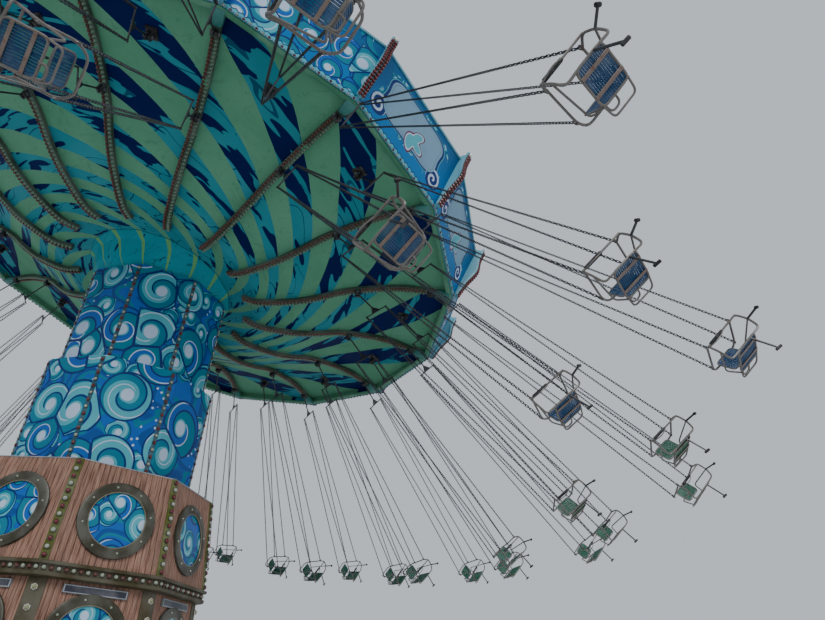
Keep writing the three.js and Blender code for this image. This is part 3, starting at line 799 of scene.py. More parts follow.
def wound(radius, bays):
    """How far a place lies off the middle of the nearest wound band, as a share of half a bay. A band's
    middle is where the bays less a shift are whole; the shift grows inward as a quadratic of
    the logarithm, and no faster than a straight line of the radius near the neck."""
    inward = inward_log(radius)
    quadratic = inward * 2.857 + inward * inward * 2.549
    line = 7.2 - radius.math("MINIMUM", 3.5) * 1.45
    shift = quadratic.math("SMOOTH_MIN", line, 0.35)
    return abs((bays - shift + 0.5).math("FRACT") - 0.5) * 2


def long_noise(f, radius, bays, along, across, lean, seed, detail=2.0):
    """Noise in long streaks round the crown: it changes slowly with the angle, fast with the logarithm of
    the distance, and the streaks lean inward by a share of the angle. It starts anew at the first rib."""
    inward = inward_log(radius)
    angle = (bays / RIBS).math("FRACT") * TURN
    place = f.vector(angle * along, (inward - angle * lean) * across, seed)
    return f.noise(place, 1.0, detail, 0.35)


def ceiling_finish(name, c):
    """The painted ceiling. A sage band crosses each bay and winds inward. Between the bands lie long navy
    tongues on teal, most of them near the rim, and thin dark lines; a sage wedge fills each bay's corner at
    the rim."""
    f = Finish(name)
    place = f.here()
    radius, bays = crown_polar(f)[:2]
    off_band = wound(radius, bays) + f.noise(place, 1.3, 1.0) * 0.10 - 0.05
    in_bay = bays.math("FRACT")
    wedge = (radius - 4.62) * 0.62 - (1 - in_bay)
    tongues = long_noise(f, radius, bays, 2.4, 13.0, 0.19, 0.0)
    slashes = long_noise(f, radius, bays, 3.4, 17.0, 0.24, 9.0)
    lines = long_noise(f, radius, bays, 3.0, 8.0, 0.24, 20.0, 1.0)
    outer = f.between(radius, 2.6, 5.4)
    navy = (tongues + outer * 0.17) > 0.585
    cut = slashes > 0.62
    teal = f.mix(f.noise(place, 0.8, 2.0), darker(c.ceiling_teal, 0.72), lighter(c.ceiling_teal, 0.05))
    teal = f.mix(cut * (1 - navy) * (radius > 2.4), teal, c.navy)
    colour = f.mix(navy * ((slashes > 0.43) + (radius > 5.5)).math("MINIMUM", 1.0), teal, c.navy)
    colour = f.mix((abs(lines - 0.5) < 0.008) * 0.7, colour, c.navy)
    veins = abs(f.noise(place, 2.2, 2.0, 1.2) - 0.5) < 0.009
    sage = f.mix(f.noise(place, 1.1, 3.0), darker(c.sage, 0.8), lighter(c.sage, 0.06))
    sage = f.mix(veins * 0.22, sage, darker(c.sage, 0.4))
    width = f.between(radius, 1.0, 2.6) * 0.40 + 0.12
    band = (off_band < width).math("MAXIMUM", wedge > 0.0)
    band = band.math("MAXIMUM", radius > 5.87)
    colour = f.mix(band, colour, sage)
    return f.art(colour, 70.0, 3.0, 0.45, 0.001, 0.0, 0.06)


def neck_finish(name, c):
    """The neck: teal, with the ceiling's bands running down it as tapering streaks, a few dark leaves and
    thin lines between them."""
    f = Finish(name)
    place = f.here()
    radius, bays, height = crown_polar(f)[:3]
    off_streak = wound(radius, bays)
    leaves = long_noise(f, radius, bays, 5.0, 7.0, -0.5, 4.0)
    lines = long_noise(f, radius, bays, 3.0, 9.0, -0.4, 14.0, 1.0)
    colour = f.mix(f.noise(place, 1.5, 2.0), darker(c.ceiling_teal, 0.9), lighter(c.ceiling_teal, 0.03))
    colour = f.mix(leaves > 0.68, colour, c.navy)
    colour = f.mix((abs(lines - 0.5) < 0.006) * 0.6, colour, darker(c.ceiling_teal, 0.35))
    colour = f.mix(off_streak < (radius - 1.0) * 0.36, colour, c.streak)
    colour = f.mix(height > -1.05, colour, darker(c.ceiling_teal, 0.5))
    return f.art(colour, 80.0, 2.0, 0.4, 0.0008, 0.0, 0.06)


def framed_panel(f, u, v, ground, small, c):
    """A pale field in a border of small curls, mirrored about the panel's middle. The field's outline is a
    rounded box with lobes, a scroll turns beside each of its lower corners, and a ragged splash lies in
    it a little off the middle."""
    side = abs(u)
    field_x, field_y = side / 0.80, (v - 0.62) / 0.40
    lobes = (field_x * 7.0).math("SINE") * 0.06 + (field_y * 5.0).math("COSINE") * 0.05
    reach = f.length(field_x.math("POWER", 2.2), abs(field_y).math("POWER", 2.0)) + lobes
    scroll_x, scroll_y = side - 0.84, v - 0.24
    scroll = f.length(scroll_x, scroll_y)
    turned = (scroll * 8.0 - scroll_y.math("ARCTAN2", scroll_x) / TURN).math("FRACT")
    colour = f.mix(reach < 1.55, ground, small)
    colour = f.mix(reach < 1.26, colour, c.deep_blue)
    colour = f.mix(abs(reach - 1.2) < 0.03, colour, c.light_teal)
    colour = f.mix(scroll < 0.2, colour, f.mix(turned < 0.4, c.deep_blue, c.foam))
    colour = f.mix(reach < 1.0, colour, c.slate)
    colour = f.mix(abs(reach - 0.84) < 0.015, colour, darker(c.slate, 0.6))
    splash_x, splash_y = (u - 0.12) / 0.24, (v - 0.42) / 0.26
    ragged = (splash_y.math("ARCTAN2", splash_x) * 3 + splash_y * 2).math("SINE") * 0.32
    splash = f.length(splash_x, splash_y) + ragged
    for edge, shade in ((0.92, SPLASH_EDGE), (0.8, c.foam), (0.68, c.light_teal)):
        colour = f.mix(splash < edge, colour, shade)
    return colour


def fascia_finish(name, c):
    """Fascia panels: two framed ones, then two with curls. Fins beside the ribs are plain; scallops run
    along the foot."""
    f = Finish(name)
    place = f.here()
    radius, bays, v, angle = crown_polar(f)
    span = radius * (BAY / 2)
    u = (bays.math("FRACT") * 2 - 1) * span
    around_crown = angle * PANEL_RADIUS
    ground = f.mix(f.between(v, 0.2, 1.1), c.fascia, darker(c.fascia, 0.62))
    bands = curls(f, around_crown, v, 0.52, 21.0, 0.62, 1.0, ground, c)
    bands = f.mix((v > 0.95) * (f.noise(place, 1.4, 1.0) > 0.45), bands, ground)
    small = curls(f, around_crown, v, 0.2, 33.0, 0.56, 0.45, ground, c)
    framed = (bays / 4).math("FRACT") < 0.5
    colour = f.mix(framed, bands, framed_panel(f, u, v, ground, small, c))
    scallop = abs((bays * SCALLOPS).math("FRACT") - 0.5) * 0.07 + 0.03
    above_foot = v - FASCIA_FOOT[1]
    colour = f.mix(above_foot < scallop + 0.02, colour, c.deep_blue)
    colour = f.mix(above_foot < scallop, colour, c.light_teal)
    fin = span - abs(u) < 0.032
    colour = f.mix(fin, colour, c.fin)
    dirt = f.between(f.noise(place, 2.2, 4.0), 0.5, 0.8) * 0.25
    colour = f.mix(dirt, colour, darker(c.deep_blue, 0.8))
    return f.art(colour, 70.0, 2.0, 0.35, 0.0008, 0.0, 0.12)


def roof_finish(name, c):
    """Sheet roof: three seams a bay, and rain marks, both running out from the hub."""
    f = Finish(name)
    place = f.here()
    radius, bays = crown_polar(f)[:2]
    seam = abs((bays * 3).math("FRACT") - 0.5) > 0.485
    marks = long_noise(f, radius, bays, 30.0, 0.6, 0.0, 2.0)
    colour = f.mix(f.noise(place, 0.7, 4.0), darker(c.roof, 0.72), lighter(c.roof, 0.1))
    colour = f.mix(f.between(marks, 0.5, 0.75) * 0.45, colour, darker(c.roof, 0.45))
    colour = f.mix(seam * 0.7, colour, darker(c.roof, 0.4))
    return f.surface(colour, marks * 0.3 + 0.35, 0.2, seam, 0.006)


def floor_finish(name):
    """The floor: pale, a little uneven in tone."""
    f = Finish(name)
    speckle = f.noise(f.here(), 2.0, 4.0)
    return f.surface(f.mix(speckle, (0.62, 0.62, 0.61), (0.7, 0.7, 0.69)), 0.8)


def finish_table(c):
    """Each finish's name, the function that makes it and the values which that function takes. Paint has
    a colour, roughness, metallic, patch size, wear and coat; worn metal a colour, metallic and rust."""
    return {
        "boards": (boards_finish, c),
        "olive_paint": (painted, c.olive, 0.45, 0.0, 2.5),
        "bronze_paint": (painted, c.bronze, 0.42, 0.1, 2.5),
        "ring_bronze": (painted, c.ring, 0.4, 0.25, 3.0),
        "gold_edge": (worn_metal, paint(124, 118, 92), 0.6, 0.1),
        "pane_art": (pane_finish, c),
        "lamp_glass": (painted, paint(36, 38, 52), 0.3, 0.0, 4.0, 0.1, 0.2),
        "lamp_case": (painted, paint(140, 146, 152), 0.35, 0.3, 4.0),
        "bearing_steel": (worn_metal, paint(120, 122, 124), 0.8, 0.5),
        "lower_sleeve_art": (sleeve_finish, LOWER_SLEEVE_RADIUS, c),
        "upper_sleeve_art": (sleeve_finish, UPPER_SLEEVE_RADIUS, c),
        "strip_teal": (painted, c.strip, 0.4, 0.0, 2.5),
        "head_steel": (worn_metal, paint(96, 100, 104), 0.7, 0.4),
        "neck_art": (neck_finish, c),
        "ceiling_art": (ceiling_finish, c),
        "rib_brown": (painted, c.rib, 0.45, 0.1, 2.0),
        "bracket_teal": (painted, paint(48, 118, 112), 0.4, 0.0, 2.0),
        "rim_green": (painted, darker(c.sage, 0.8), 0.4, 0.0, 1.5),
        "fascia_art": (fascia_finish, c),
        "fin_paint": (painted, c.fin, 0.35, 0.0, 2.0),
        "scallop_paint": (painted, paint(104, 140, 160), 0.4, 0.0, 3.0),
        "roof_sheet": (roof_finish, c),
        "roof_trim": (painted, darker(c.roof, 0.7), 0.45, 0.3, 2.0),
        "bulb_cup": (painted, paint(196, 194, 186), 0.35, 0.1, 8.0),
        "bulb_cup_dark": (painted, paint(58, 52, 48), 0.4, 0.1, 8.0),
        "bulb_white": (glass_bulb, c.bulb_white),
        "bulb_cream": (glass_bulb, paint(142, 150, 134)),
        "bulb_olive": (glass_bulb, paint(126, 128, 94)),
        "bulb_red": (glass_bulb, c.bulb_red),
        "bulb_green": (glass_bulb, paint(98, 122, 104)),
        "bulb_rust": (glass_bulb, paint(92, 54, 46)),
        "chair_tube": (worn_metal, c.tube, 0.35, 0.35),
        "seat_blue": (painted, c.seat_blue, 0.5, 0.0, 5.0, 0.5),
        "seat_green": (painted, c.seat_green, 0.5, 0.0, 5.0, 0.5),
        "seat_strap": (worn_metal, c.strap, 0.2, 0.45),
        "chain_steel": (worn_metal, c.chain, 0.75, 0.3),
        "black_grip": (painted, paint(30, 30, 33), 0.6, 0.0, 12.0),
    }


def material(name):
    """The material of a finish, made when it is first asked for."""
    known = bpy.data.materials.get("ride_" + name)
    if known:
        return known
    make, *values = finish_table(bpy.context.scene.swing_ride_colours)[name]
    return make("ride_" + name, *values)


def piece(name, body, shapes, finishes, replaced=()):
    """Joins shapes into one mesh object that rides on a body. A shape's finish is its place in finishes."""
    mesh = bpy.data.meshes.new(name)
    points = np.vstack([shape.points for shape in shapes])
    local = np.vstack([shape.local for shape in shapes])
    starts = np.cumsum([0] + [len(shape.points) for shape in shapes])
    faces = [corners + start for shape, start in zip(shapes, starts) for corners in shape.faces]
    numbers = [np.full(len(corners), shape.finish) for shape in shapes for corners in shape.faces]
    totals = np.concatenate([np.full(len(corners), corners.shape[1]) for corners in faces])
    loops = np.concatenate([corners.ravel() for corners in faces])
    mesh.vertices.add(len(points))
    mesh.vertices.foreach_set("co", points.ravel())
    mesh.loops.add(len(loops))
    mesh.loops.foreach_set("vertex_index", loops)
    mesh.polygons.add(len(totals))
    mesh.polygons.foreach_set("loop_start", np.concatenate([[0], np.cumsum(totals)[:-1]]))
    mesh.polygons.foreach_set("material_index", np.concatenate(numbers))
    mesh.attributes.new("local", "FLOAT_VECTOR", "POINT").data.foreach_set("vector", local.ravel())
    mesh.update(calc_edges=True)
    if mesh.validate():
        raise RuntimeError(f"{name} has faces that Blender can't hold")
    mesh.shade_smooth()
    mesh.set_sharp_from_angle(angle=SHARP_EDGE)
    for finish_name in finishes:
        mesh.materials.append(material(finish_name))
    made = bpy.data.objects.new(name, mesh)
    bpy.context.scene.collection.objects.link(made)
    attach(made, body)
    if replaced:
        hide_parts(*replaced)


# The base.
def face_frame(tier, height):
    """Middle of a leaning face at a height, its way up and its way out, for the face whose middle is at
    angle 0: X is outward."""
    foot_radius, foot, head_radius, head = tier
    flat_foot, flat_head = foot_radius * math.cos(HALF_FACE), head_radius * math.cos(HALF_FACE)
    rise = unit((flat_head - flat_foot, 0.0, head - foot))
    share = (height - foot) / (head - foot)
    middle = np.array((flat_foot + (flat_head - flat_foot) * share, 0.0, height))
    return middle, rise, np.array((rise[2], 0.0, -rise[0]))


def on_face(shapes, tier, height):
    """Shapes laid on a leaning face at a height: X runs along the face, Y up it and Z out of it."""
    middle, rise, out = face_frame(tier, height)
    return [repeat(shape, middle, (0, 1, 0), rise, out) for shape in shapes]


def base_ring(profile):
    """A profile of (radius, height) with a corner on each of the base's eight."""
    return carry(np.zeros((FACES, 3)), profile, spokes(CORNER_ANGLES), UP, 0, True)


def face_boards(tier, count, margin):
    """Upright boards on one leaning face: a board's section, flat-topped with worn edges, is carried from
    the face's foot edge to its head edge, and narrows as the face does."""
    foot_radius, foot, head_radius, head = tier
    thickness, gap, worn = 0.014, 0.005, 0.006
    edges = np.linspace(0, 1, count + 1)
    out = face_frame(tier, foot)[2]
    ends = []
    for height, radius in ((foot, foot_radius), (head, head_radius)):
        half = radius * math.sin(HALF_FACE) - margin
        left = half * (2 * edges[:-1] - 1) + gap / 2
        right = half * (2 * edges[1:] - 1) - gap / 2
        across = np.stack([left, left, left + worn, right - worn, right, right], axis=1)
        proud = thickness * np.array((-0.3, 0.6, 1.0, 1.0, 0.6, -0.3))
        middle = face_frame(tier, height)[0]
        ends.append(middle + across[..., None] * (0, 1, 0) + proud[None, :, None] * out)
    sections = np.stack(ends, axis=1)
    number = np.broadcast_to(np.arange(count)[:, None, None], sections.shape[:3])
    local = np.stack([sections[..., 1], number, sections[..., 2]], axis=-1)
    return loft(sections, 0, local=local)


def numbered(shapes, angles):
    """Copies round Z whose boards have numbers of their own: each copy's are a step above the last one's."""
    step = 31.0
    made = around(shapes, angles)
    for shape, source in zip(made, shapes):
        copy = np.repeat(np.arange(len(angles)), len(source.points))
        shape.local = shape.local + copy[:, None] * (0.0, step, 0.0)
    return made


def porthole(tier, height):
    """A ring, a bead inside it, a painted pane and eight studs, on the face whose middle is at angle 0.
    The ring is a flat-topped profile turned about the face's outward direction."""
    circle = spokes(even_angles(PORTHOLE_SIDES))
    centre = np.zeros((PORTHOLE_SIDES, 3))
    ring = carry(centre, RING_SECTION, circle, UP, 0, True)
    bead = np.array((PORTHOLE_PANE + 0.004, 0.05)) + 0.008 * spokes(even_angles(6))[:, :2]
    bead = carry(centre, bead, circle, UP, 1, True)
    pane = lathe(PANE_SECTION, PORTHOLE_SIDES, 2)
    places = STUD_CIRCLE * spokes(even_angles(STUDS, 0.3))
    studs = repeat(lathe(STUD_SECTION, 8, 3), places, (1, 0, 0), (0, 1, 0), UP)
    return on_face([ring, bead, pane, studs], tier, height)


def corner_strip(tier, half):
    """A bent strip over a corner: its V-shaped section is carried from the corner's foot to its head. The
    corner is at angle 0; the faces fall away from it by half a face's turn on each side."""
    foot_radius, foot, head_radius, head = tier
    under = -0.01
    fall = -math.tan(HALF_FACE) * half
    profile = [(-half, fall + STRIP_THICKNESS), (0.0, STRIP_THICKNESS), (half, fall + STRIP_THICKNESS)]
    profile += [(half, fall + under), (0.0, under), (-half, fall + under)]
    path = [(foot_radius, 0, foot), (head_radius, 0, head)]
    return carry(path, profile, (0, 1, 0), (1, 0, 0))


def base_pieces(sizes):
    """Boards and portholes on both tiers, strips over their corners and bulbs up the strips."""
    for name, tier in TIERS.items():
        boards = numbered([face_boards(tier, sizes.board_count, BOARD_MARGIN[name])], FACE_ANGLES)
        piece(f"base_{name}_boards", "base", boards, ["boards"])
    finishes = ["ring_bronze", "gold_edge", "pane_art", "bulb_cream"]
    for name, tier in TIERS.items():
        shapes = around(porthole(tier, PORTHOLE_HEIGHT[name]), FACE_ANGLES)
        piece(f"base_{name}_portholes", "base", shapes, finishes)
    for name, tier in TIERS.items():
        strips = around([corner_strip(tier, STRIP_HALF[name])], CORNER_ANGLES)
        piece(f"base_{name}_corner_strips", "base", strips, [STRIP_PAINT[name]])

    lights = []
    over_corner = 0.028
    for tier, pitch, size, numbers in (
        (TIERS["lower"], 0.25, sizes.bulb_radius * 1.7, (0, 4, 4)),
        (TIERS["upper"], sizes.bulb_pitch * 0.92, sizes.bulb_radius * 1.6, (1, 2, 3)),
    ):
        foot_radius, foot, head_radius, head = tier
        path = [(foot_radius + over_corner, 0, foot), (head_radius + over_corner, 0, head)]
        lights += bulbs(spaced(path, pitch)[0], (1, 0, 0.1), size, numbers, 0.8)
    finishes = ["bulb_cup", "bulb_cup_dark", "bulb_red", "bulb_cream", "bulb_olive"]
    piece("base_corner_bulbs", "base", around(lights, CORNER_ANGLES), finishes)


def cornice_pieces(sizes):
    """The cornice: ledges over and under a recessed channel, one profile with a corner on each of the
    base's eight, and bulbs along the channel's floor. Lamp bars hang under it, and the roof has an edge."""
    low, high = CORNICE_FOOT, CORNICE_HEAD
    channel_foot, channel_head = low + 0.074, high - 0.05
    recess = CORNICE_RADIUS - 0.035
    profile = (
        (CORNICE_INSIDE, low),
        (CORNICE_RADIUS - 0.045, low),
        (CORNICE_RADIUS - 0.02, low + 0.012),
        (CORNICE_RADIUS, low + 0.02),
        (CORNICE_RADIUS, low + 0.062),
        (CORNICE_RADIUS - 0.01, low + 0.07),
        (recess, channel_foot),
        (recess, channel_head),
        (CORNICE_RADIUS + 0.012, high - 0.046),
        (CORNICE_RADIUS + 0.018, high - 0.03),
        (CORNICE_RADIUS + 0.018, high - 0.008),
        (CORNICE_RADIUS + 0.008, high),
        (CORNICE_INSIDE, high),
    )
    moulding = [base_ring(profile)]
    piece("base_cornice_moulding", "base", moulding, ["bronze_paint"], ["base_cornice"])

    half, flat = recess * math.sin(HALF_FACE), recess * math.cos(HALF_FACE)
    height = (channel_foot + channel_head) / 2
    places = spaced([(flat, -half, height), (flat, half, height)], sizes.bulb_pitch * 0.78)[0]
    lights = around(bulbs(places, (1, 0, 0), sizes.bulb_radius * 1.45, (0, 1, 2), 0.9), FACE_ANGLES)
    piece("cornice_bulbs", "base", lights, ["bulb_cup_dark", "bulb_cream", "bulb_rust"])

    case = block((-0.43, -0.055, 0.0), (0.43, 0.055, 0.05), 0.006, 0)
    glass = block((-0.41, -0.038, 0.02), (0.41, 0.038, 0.054), 0.0, 1)
    lamps = around(on_face([case, glass], TIERS["lower"], LOWER_HEAD - 0.10), FACE_ANGLES)
    piece("base_lamp_bars", "base", lamps, ["lamp_case", "lamp_glass"])

    inside, outside = ROOF_RADIUS - 0.06, ROOF_RADIUS + 0.022
    under, top = ROOF_TOP - 0.006, ROOF_TOP + 0.008
    edge = base_ring(((inside, under), (outside, under), (outside, top), (inside, top)))
    piece("base_roof_edge", "base", [edge], ["lamp_case"])


def tower_pieces(sizes):
    """Strips of lights on the planed corners of both sleeves, sunk inside the sleeves' full outline so that
    the tower still slides together."""
    wide, clear = LIGHT_STRIP_HALF, 0.03
    finishes = ["strip_teal", "bulb_cup_dark", "bulb_red", "bulb_cream"]
    for name, radius, foot, top in (
        ("lower", LOWER_SLEEVE_RADIUS, ROOF_TOP, LOWER_SLEEVE_TOP),
        ("upper", UPPER_SLEEVE_RADIUS, LOWER_SLEEVE_TOP, UPPER_SLEEVE_TOP),
    ):
        low, high = foot + clear, top - 0.02
        flat = radius - CORNER_CUT
        face = flat + 0.003
        strip = block((flat - 0.004, -wide, low), (face, wide, high), 0.002)
        places = spaced([(face, 0, low), (face, 0, high)], sizes.bulb_pitch)[0]
        lights = bulbs(places, (1, 0, 0), sizes.bulb_radius * 1.3, (1, 2, 3), 0.75)
        shapes = around([strip] + lights, TOWER_TURN + even_angles(FACES))
        piece(f"{name}_tower_light_strips", f"{name}_tower", shapes, finishes)


# The crown.
def upright(points):
    """Points of (radius, height) in the plane of a rib, at angle 0."""
    radius, height = np.asarray(points, float).T
    return np.stack([radius, 0 * radius, height], axis=1)


def ridge_section(half, root, shoulder, crest, bevel):
    """A flat-topped section of (sideways, height): its sides stand from the root to the shoulder, and
    bevels lead on to the crest."""
    return (
        (-half, root),
        (-half, shoulder),
        (bevel - half, crest),
        (half - bevel, crest),
        (half, shoulder),
        (half, root),
    )


def edge_and_rows(line, section, pitch):
    """A section carried along a line in the plane of a rib, off its side that is down where it runs
    outward, and places for bulbs on it: their feet, the line's direction there and the way off it."""
    off = np.cross((0, 1, 0), unit(np.gradient(line, axis=0)))
    edge = carry(line, section, (0, 1, 0), off)
    places, ahead = spaced(line + off * ROW_HEIGHT, pitch)
    return edge, places, ahead, np.cross((0, 1, 0), ahead)


def bay_ring(profile):
    """A profile of (radius, height) with a corner on each rib."""
    return carry(np.zeros((RIBS, 3)), profile, spokes(RIB_ANGLES), UP, 0, True)


def along_bays(radius, height, count):
    """Evenly spaced points along the flat side of one bay, the bay's middle at angle 0."""
    half = radius * math.sin(BAY / 2)
    places = (np.arange(count) + 0.5) / count * 2 - 1
    flat = np.full(count, radius * math.cos(BAY / 2))
    return np.stack([flat, places * half, np.full(count, height)], axis=1)


def rib_pieces(sizes):
    """A channel under each rib, its section carried along an eased curve below the rib, with two rows of
    bulbs; a bracket block at the rib's end."""
    section = ridge_section(EDGE_HALF, -0.06, 0.006, 0.014, 0.01)
    line = upright(eased(RIB_LINE))
    rail, places, ahead, down = edge_and_rows(line, section, sizes.bulb_pitch * 0.56)
    piece("rib_channels", "crown", on_ribs([rail]), ["rib_brown"])

    radius = places[:, 0]
    clear = radius < RIB_BULBS_END
    for lug in RIB_LUGS:
        clear &= np.abs(radius - lug) > LUG_CLEARANCE
    bulb = lathe([(0.031, -0.004), (0.029, 0.016), (0.014, 0.036)], 6)
    rows = []
    for number, side in enumerate((0.036, -0.036)):
        row = repeat(bulb, places[clear] + (0, side, 0), (0, 1, 0), ahead[clear], down[clear])
        row.finish = number
        rows.append(row)
    piece("rib_bulbs", "crown", on_ribs(rows), ["bulb_green", "bulb_rust"])

    sections = []
    for radius, half, top, foot in BRACKET_SECTIONS:
        outline = ridge_section(half, top, foot + BRACKET_BEVEL, foot, BRACKET_BEVEL)
        sections.append([(radius, side, height) for side, height in outline])
    piece("rib_brackets", "crown", on_ribs([loft(sections)]), ["bracket_teal"])


def chair_frames(ring):
    """Pins of a ring's chairs, and each one's outward, sideways and upward directions in the crown."""
    joints = [JOINTS[f"swing_{ring}_{k + 1:02d}"] for k in range(RIBS)]
    pins = np.array([joint["pos_m"] for joint in joints])
    sideways = -unit([joint["axis"] for joint in joints])
    return pins, np.cross(sideways, CROWN_AXIS), sideways, np.broadcast_to(CROWN_AXIS, pins.shape)


def hanger_pieces():
    """What each chair's stem hangs from: a cheek on both sides, the pin through them with its nuts, and a
    plate over the cheeks in the middle ring."""
    pin = lathe([(0.015, -0.085), (0.018, -0.08), (0.018, 0.08), (0.015, 0.085)], 8, 1)
    nut = lathe([(0.034, 0.058), (0.034, 0.076)], 6, 1)
    pin_parts = [repeat(shape, (0, 0, 0), (1, 0, 0), (0, 0, 1), (0, -1, 0)) for shape in (pin, nut)]
    pin_parts.append(repeat(nut, (0, 0, 0), (1, 0, 0), (0, 0, -1), (0, 1, 0)))
    sides = ((CHEEK_INSIDE, CHEEK_OUTSIDE), (-CHEEK_OUTSIDE, -CHEEK_INSIDE))
    shapes = []
    for ring in RINGS:
        head = CHEEK_HEAD[ring]
        parts = []
        for low, high in sides:
            parts.append(block((-CHEEK_HALF, low, -CHEEK_HALF), (CHEEK_HALF, high, head), 0.008))
        if ring == "middle":
            parts.append(block((-0.11, -0.10, head - 0.03), (0.11, 0.10, head - 0.006), 0.004))
        shapes += [repeat(shape, *chair_frames(ring)) for shape in parts + pin_parts]
    piece("chair_hangers", "crown", shapes, ["black_grip", "head_steel"])


def rim_pieces(sizes):
    """The rim: a green moulding under the beam, scallops along the fascia's foot, and a bulb on each."""
    piece("rim_moulding", "crown", on_crown([bay_ring(RIM_SECTION)]), ["rim_green"])

    radius, height = FASCIA_FOOT
    width = 2 * radius * math.sin(BAY / 2) / SCALLOPS
    lower_half = spokes(np.linspace(math.pi, TURN, 8))[:, :2]
    outline = lower_half * (width / 2, width * 0.3)
    scallop = carry([(0, 0, -0.006), (0, 0, 0.008)], outline, (1, 0, 0), (0, 1, 0))
    places = along_bays(radius - 0.01, height + 0.004, SCALLOPS)
    scallops = repeat(scallop, places, (0, 1, 0), (0, 0, 1), (1, 0, 0))
    beads = bulbs(places + (0.008, 0, -0.012), (0.75, 0, -0.65), sizes.bulb_radius * 0.95, (1, 2, 3))
    shapes = on_crown(around([scallops] + beads, RIB_ANGLES + BAY / 2))
    finishes = ["scallop_paint", "bulb_cup_dark", "bulb_cream", "bulb_red"]
    piece("rim_scallops_and_bulbs", "crown", shapes, finishes)


def fascia_pieces(sizes):
    """A moulding along the fascia's head, a lipped edge on each fin, two rows of red bulbs on the lip and a
    pale one at its end."""
    radius, height = FASCIA_HEAD
    profile = (
        (radius - 0.06, height - 0.01),
        (radius - 0.06, height + 0.018),
        (radius + 0.01, height + 0.026),
        (radius + 0.022, height + 0.01),
        (radius + 0.016, height - 0.03),
        (radius - 0.01, height - 0.03),
    )
    piece("fascia_head_moulding", "crown", on_crown([bay_ring(profile)]), ["fin_paint"])

    section = ridge_section(EDGE_HALF, -0.035, 0.006, 0.014, 0.012)
    line = upright(eased(FIN_EDGE, 6))
    edge, places, _, out = edge_and_rows(line, section, sizes.bulb_pitch * 0.55)
    lights = bulbs(places[-1:] + (0, 0, 0.012), out[-1:], sizes.bulb_radius * 1.7, (1, 3, 3))
    for side in (-0.034, 0.034):
        lights += bulbs(places[:-1] + (0, side, 0), out[:-1], sizes.bulb_radius * 1.5, (1, 2, 2))
    finishes = ["fin_paint", "bulb_cup_dark", "bulb_red", "bulb_white"]
    piece("fin_edges_and_bulbs", "crown", on_ribs([edge] + lights), finishes)


def roof_pieces():
    """A standing seam along each ridge of the roof, and a domed cap over the hub."""
    section = ridge_section(0.03, -0.02, 0.008, 0.03, 0.018)
    seam = carry(upright(ROOF_RIDGE), section, (0, 1, 0), UP)
    shapes = on_crown(around([seam], RIB_ANGLES) + [lathe(CAP_SECTION, 32)])
    piece("roof_seams_and_cap", "crown", shapes, ["roof_trim"])


# The chairs.
def chain(start, end, sizes):
    """Links from start to end, by turns edge on and flat. A link is a four-cornered loop of wire of three
    sides: the corner's place plus the wire's radius times its outward and sideways directions."""
    start, end = np.asarray(start, float), np.asarray(end, float)
    length = np.linalg.norm(end - start)
    count = int(round(length / sizes.chain_pitch))
    pitch = length / count
    tall = pitch / 2 + sizes.chain_wire * 0.6
    corners = np.array([(1, 0, -1), (1, 0, 1), (-1, 0, 1), (-1, 0, -1)]) * (LINK_HALF, 0, tall)
    out = unit(corners * (3.0, 0, 1.0))
    wire = sizes.chain_wire * spokes(even_angles(3))[:, :2]
    link = carry(corners, wire, out, (0, 1, 0), STEEL, True)
    down = unit(end - start)
    across = unit(np.cross(down, (1, 0, 0)))
    other = np.cross(down, across)
    places = start + down * ((np.arange(count) + 0.5) * pitch)[:, None]
    return [
        repeat(link, places[::2], across, other, down),
        repeat(link, places[1::2], other, -across, down),
    ]


def chair_side(side, seat, radius):
    """One side of a chair's frame: a bow before the rail's end, a middle rail, and an eye for each of the
    side's two chains."""

    def placed(points):
        return np.asarray(points, float) * (side, 1, 1) + (0, 0, seat)

    shapes = [
        tube(rounded(placed(BOW), 0.05, 5), radius, flat=(0.5 * side, 0.85, 0.2)),
        tube(rounded(placed(MIDDLE_RAIL), 0.05), radius * 0.8),
    ]
    circle = EYE_RADIUS * spokes(even_angles(8))
    for y, z in (CHAIN_FRONT, CHAIN_REAR):
        eye = np.roll(circle, 1, axis=1) + (CHAIN_PLANE, y, z + 0.01)
        shapes.append(tube(placed(eye), 0.007, 4, ring=True))
    return shapes


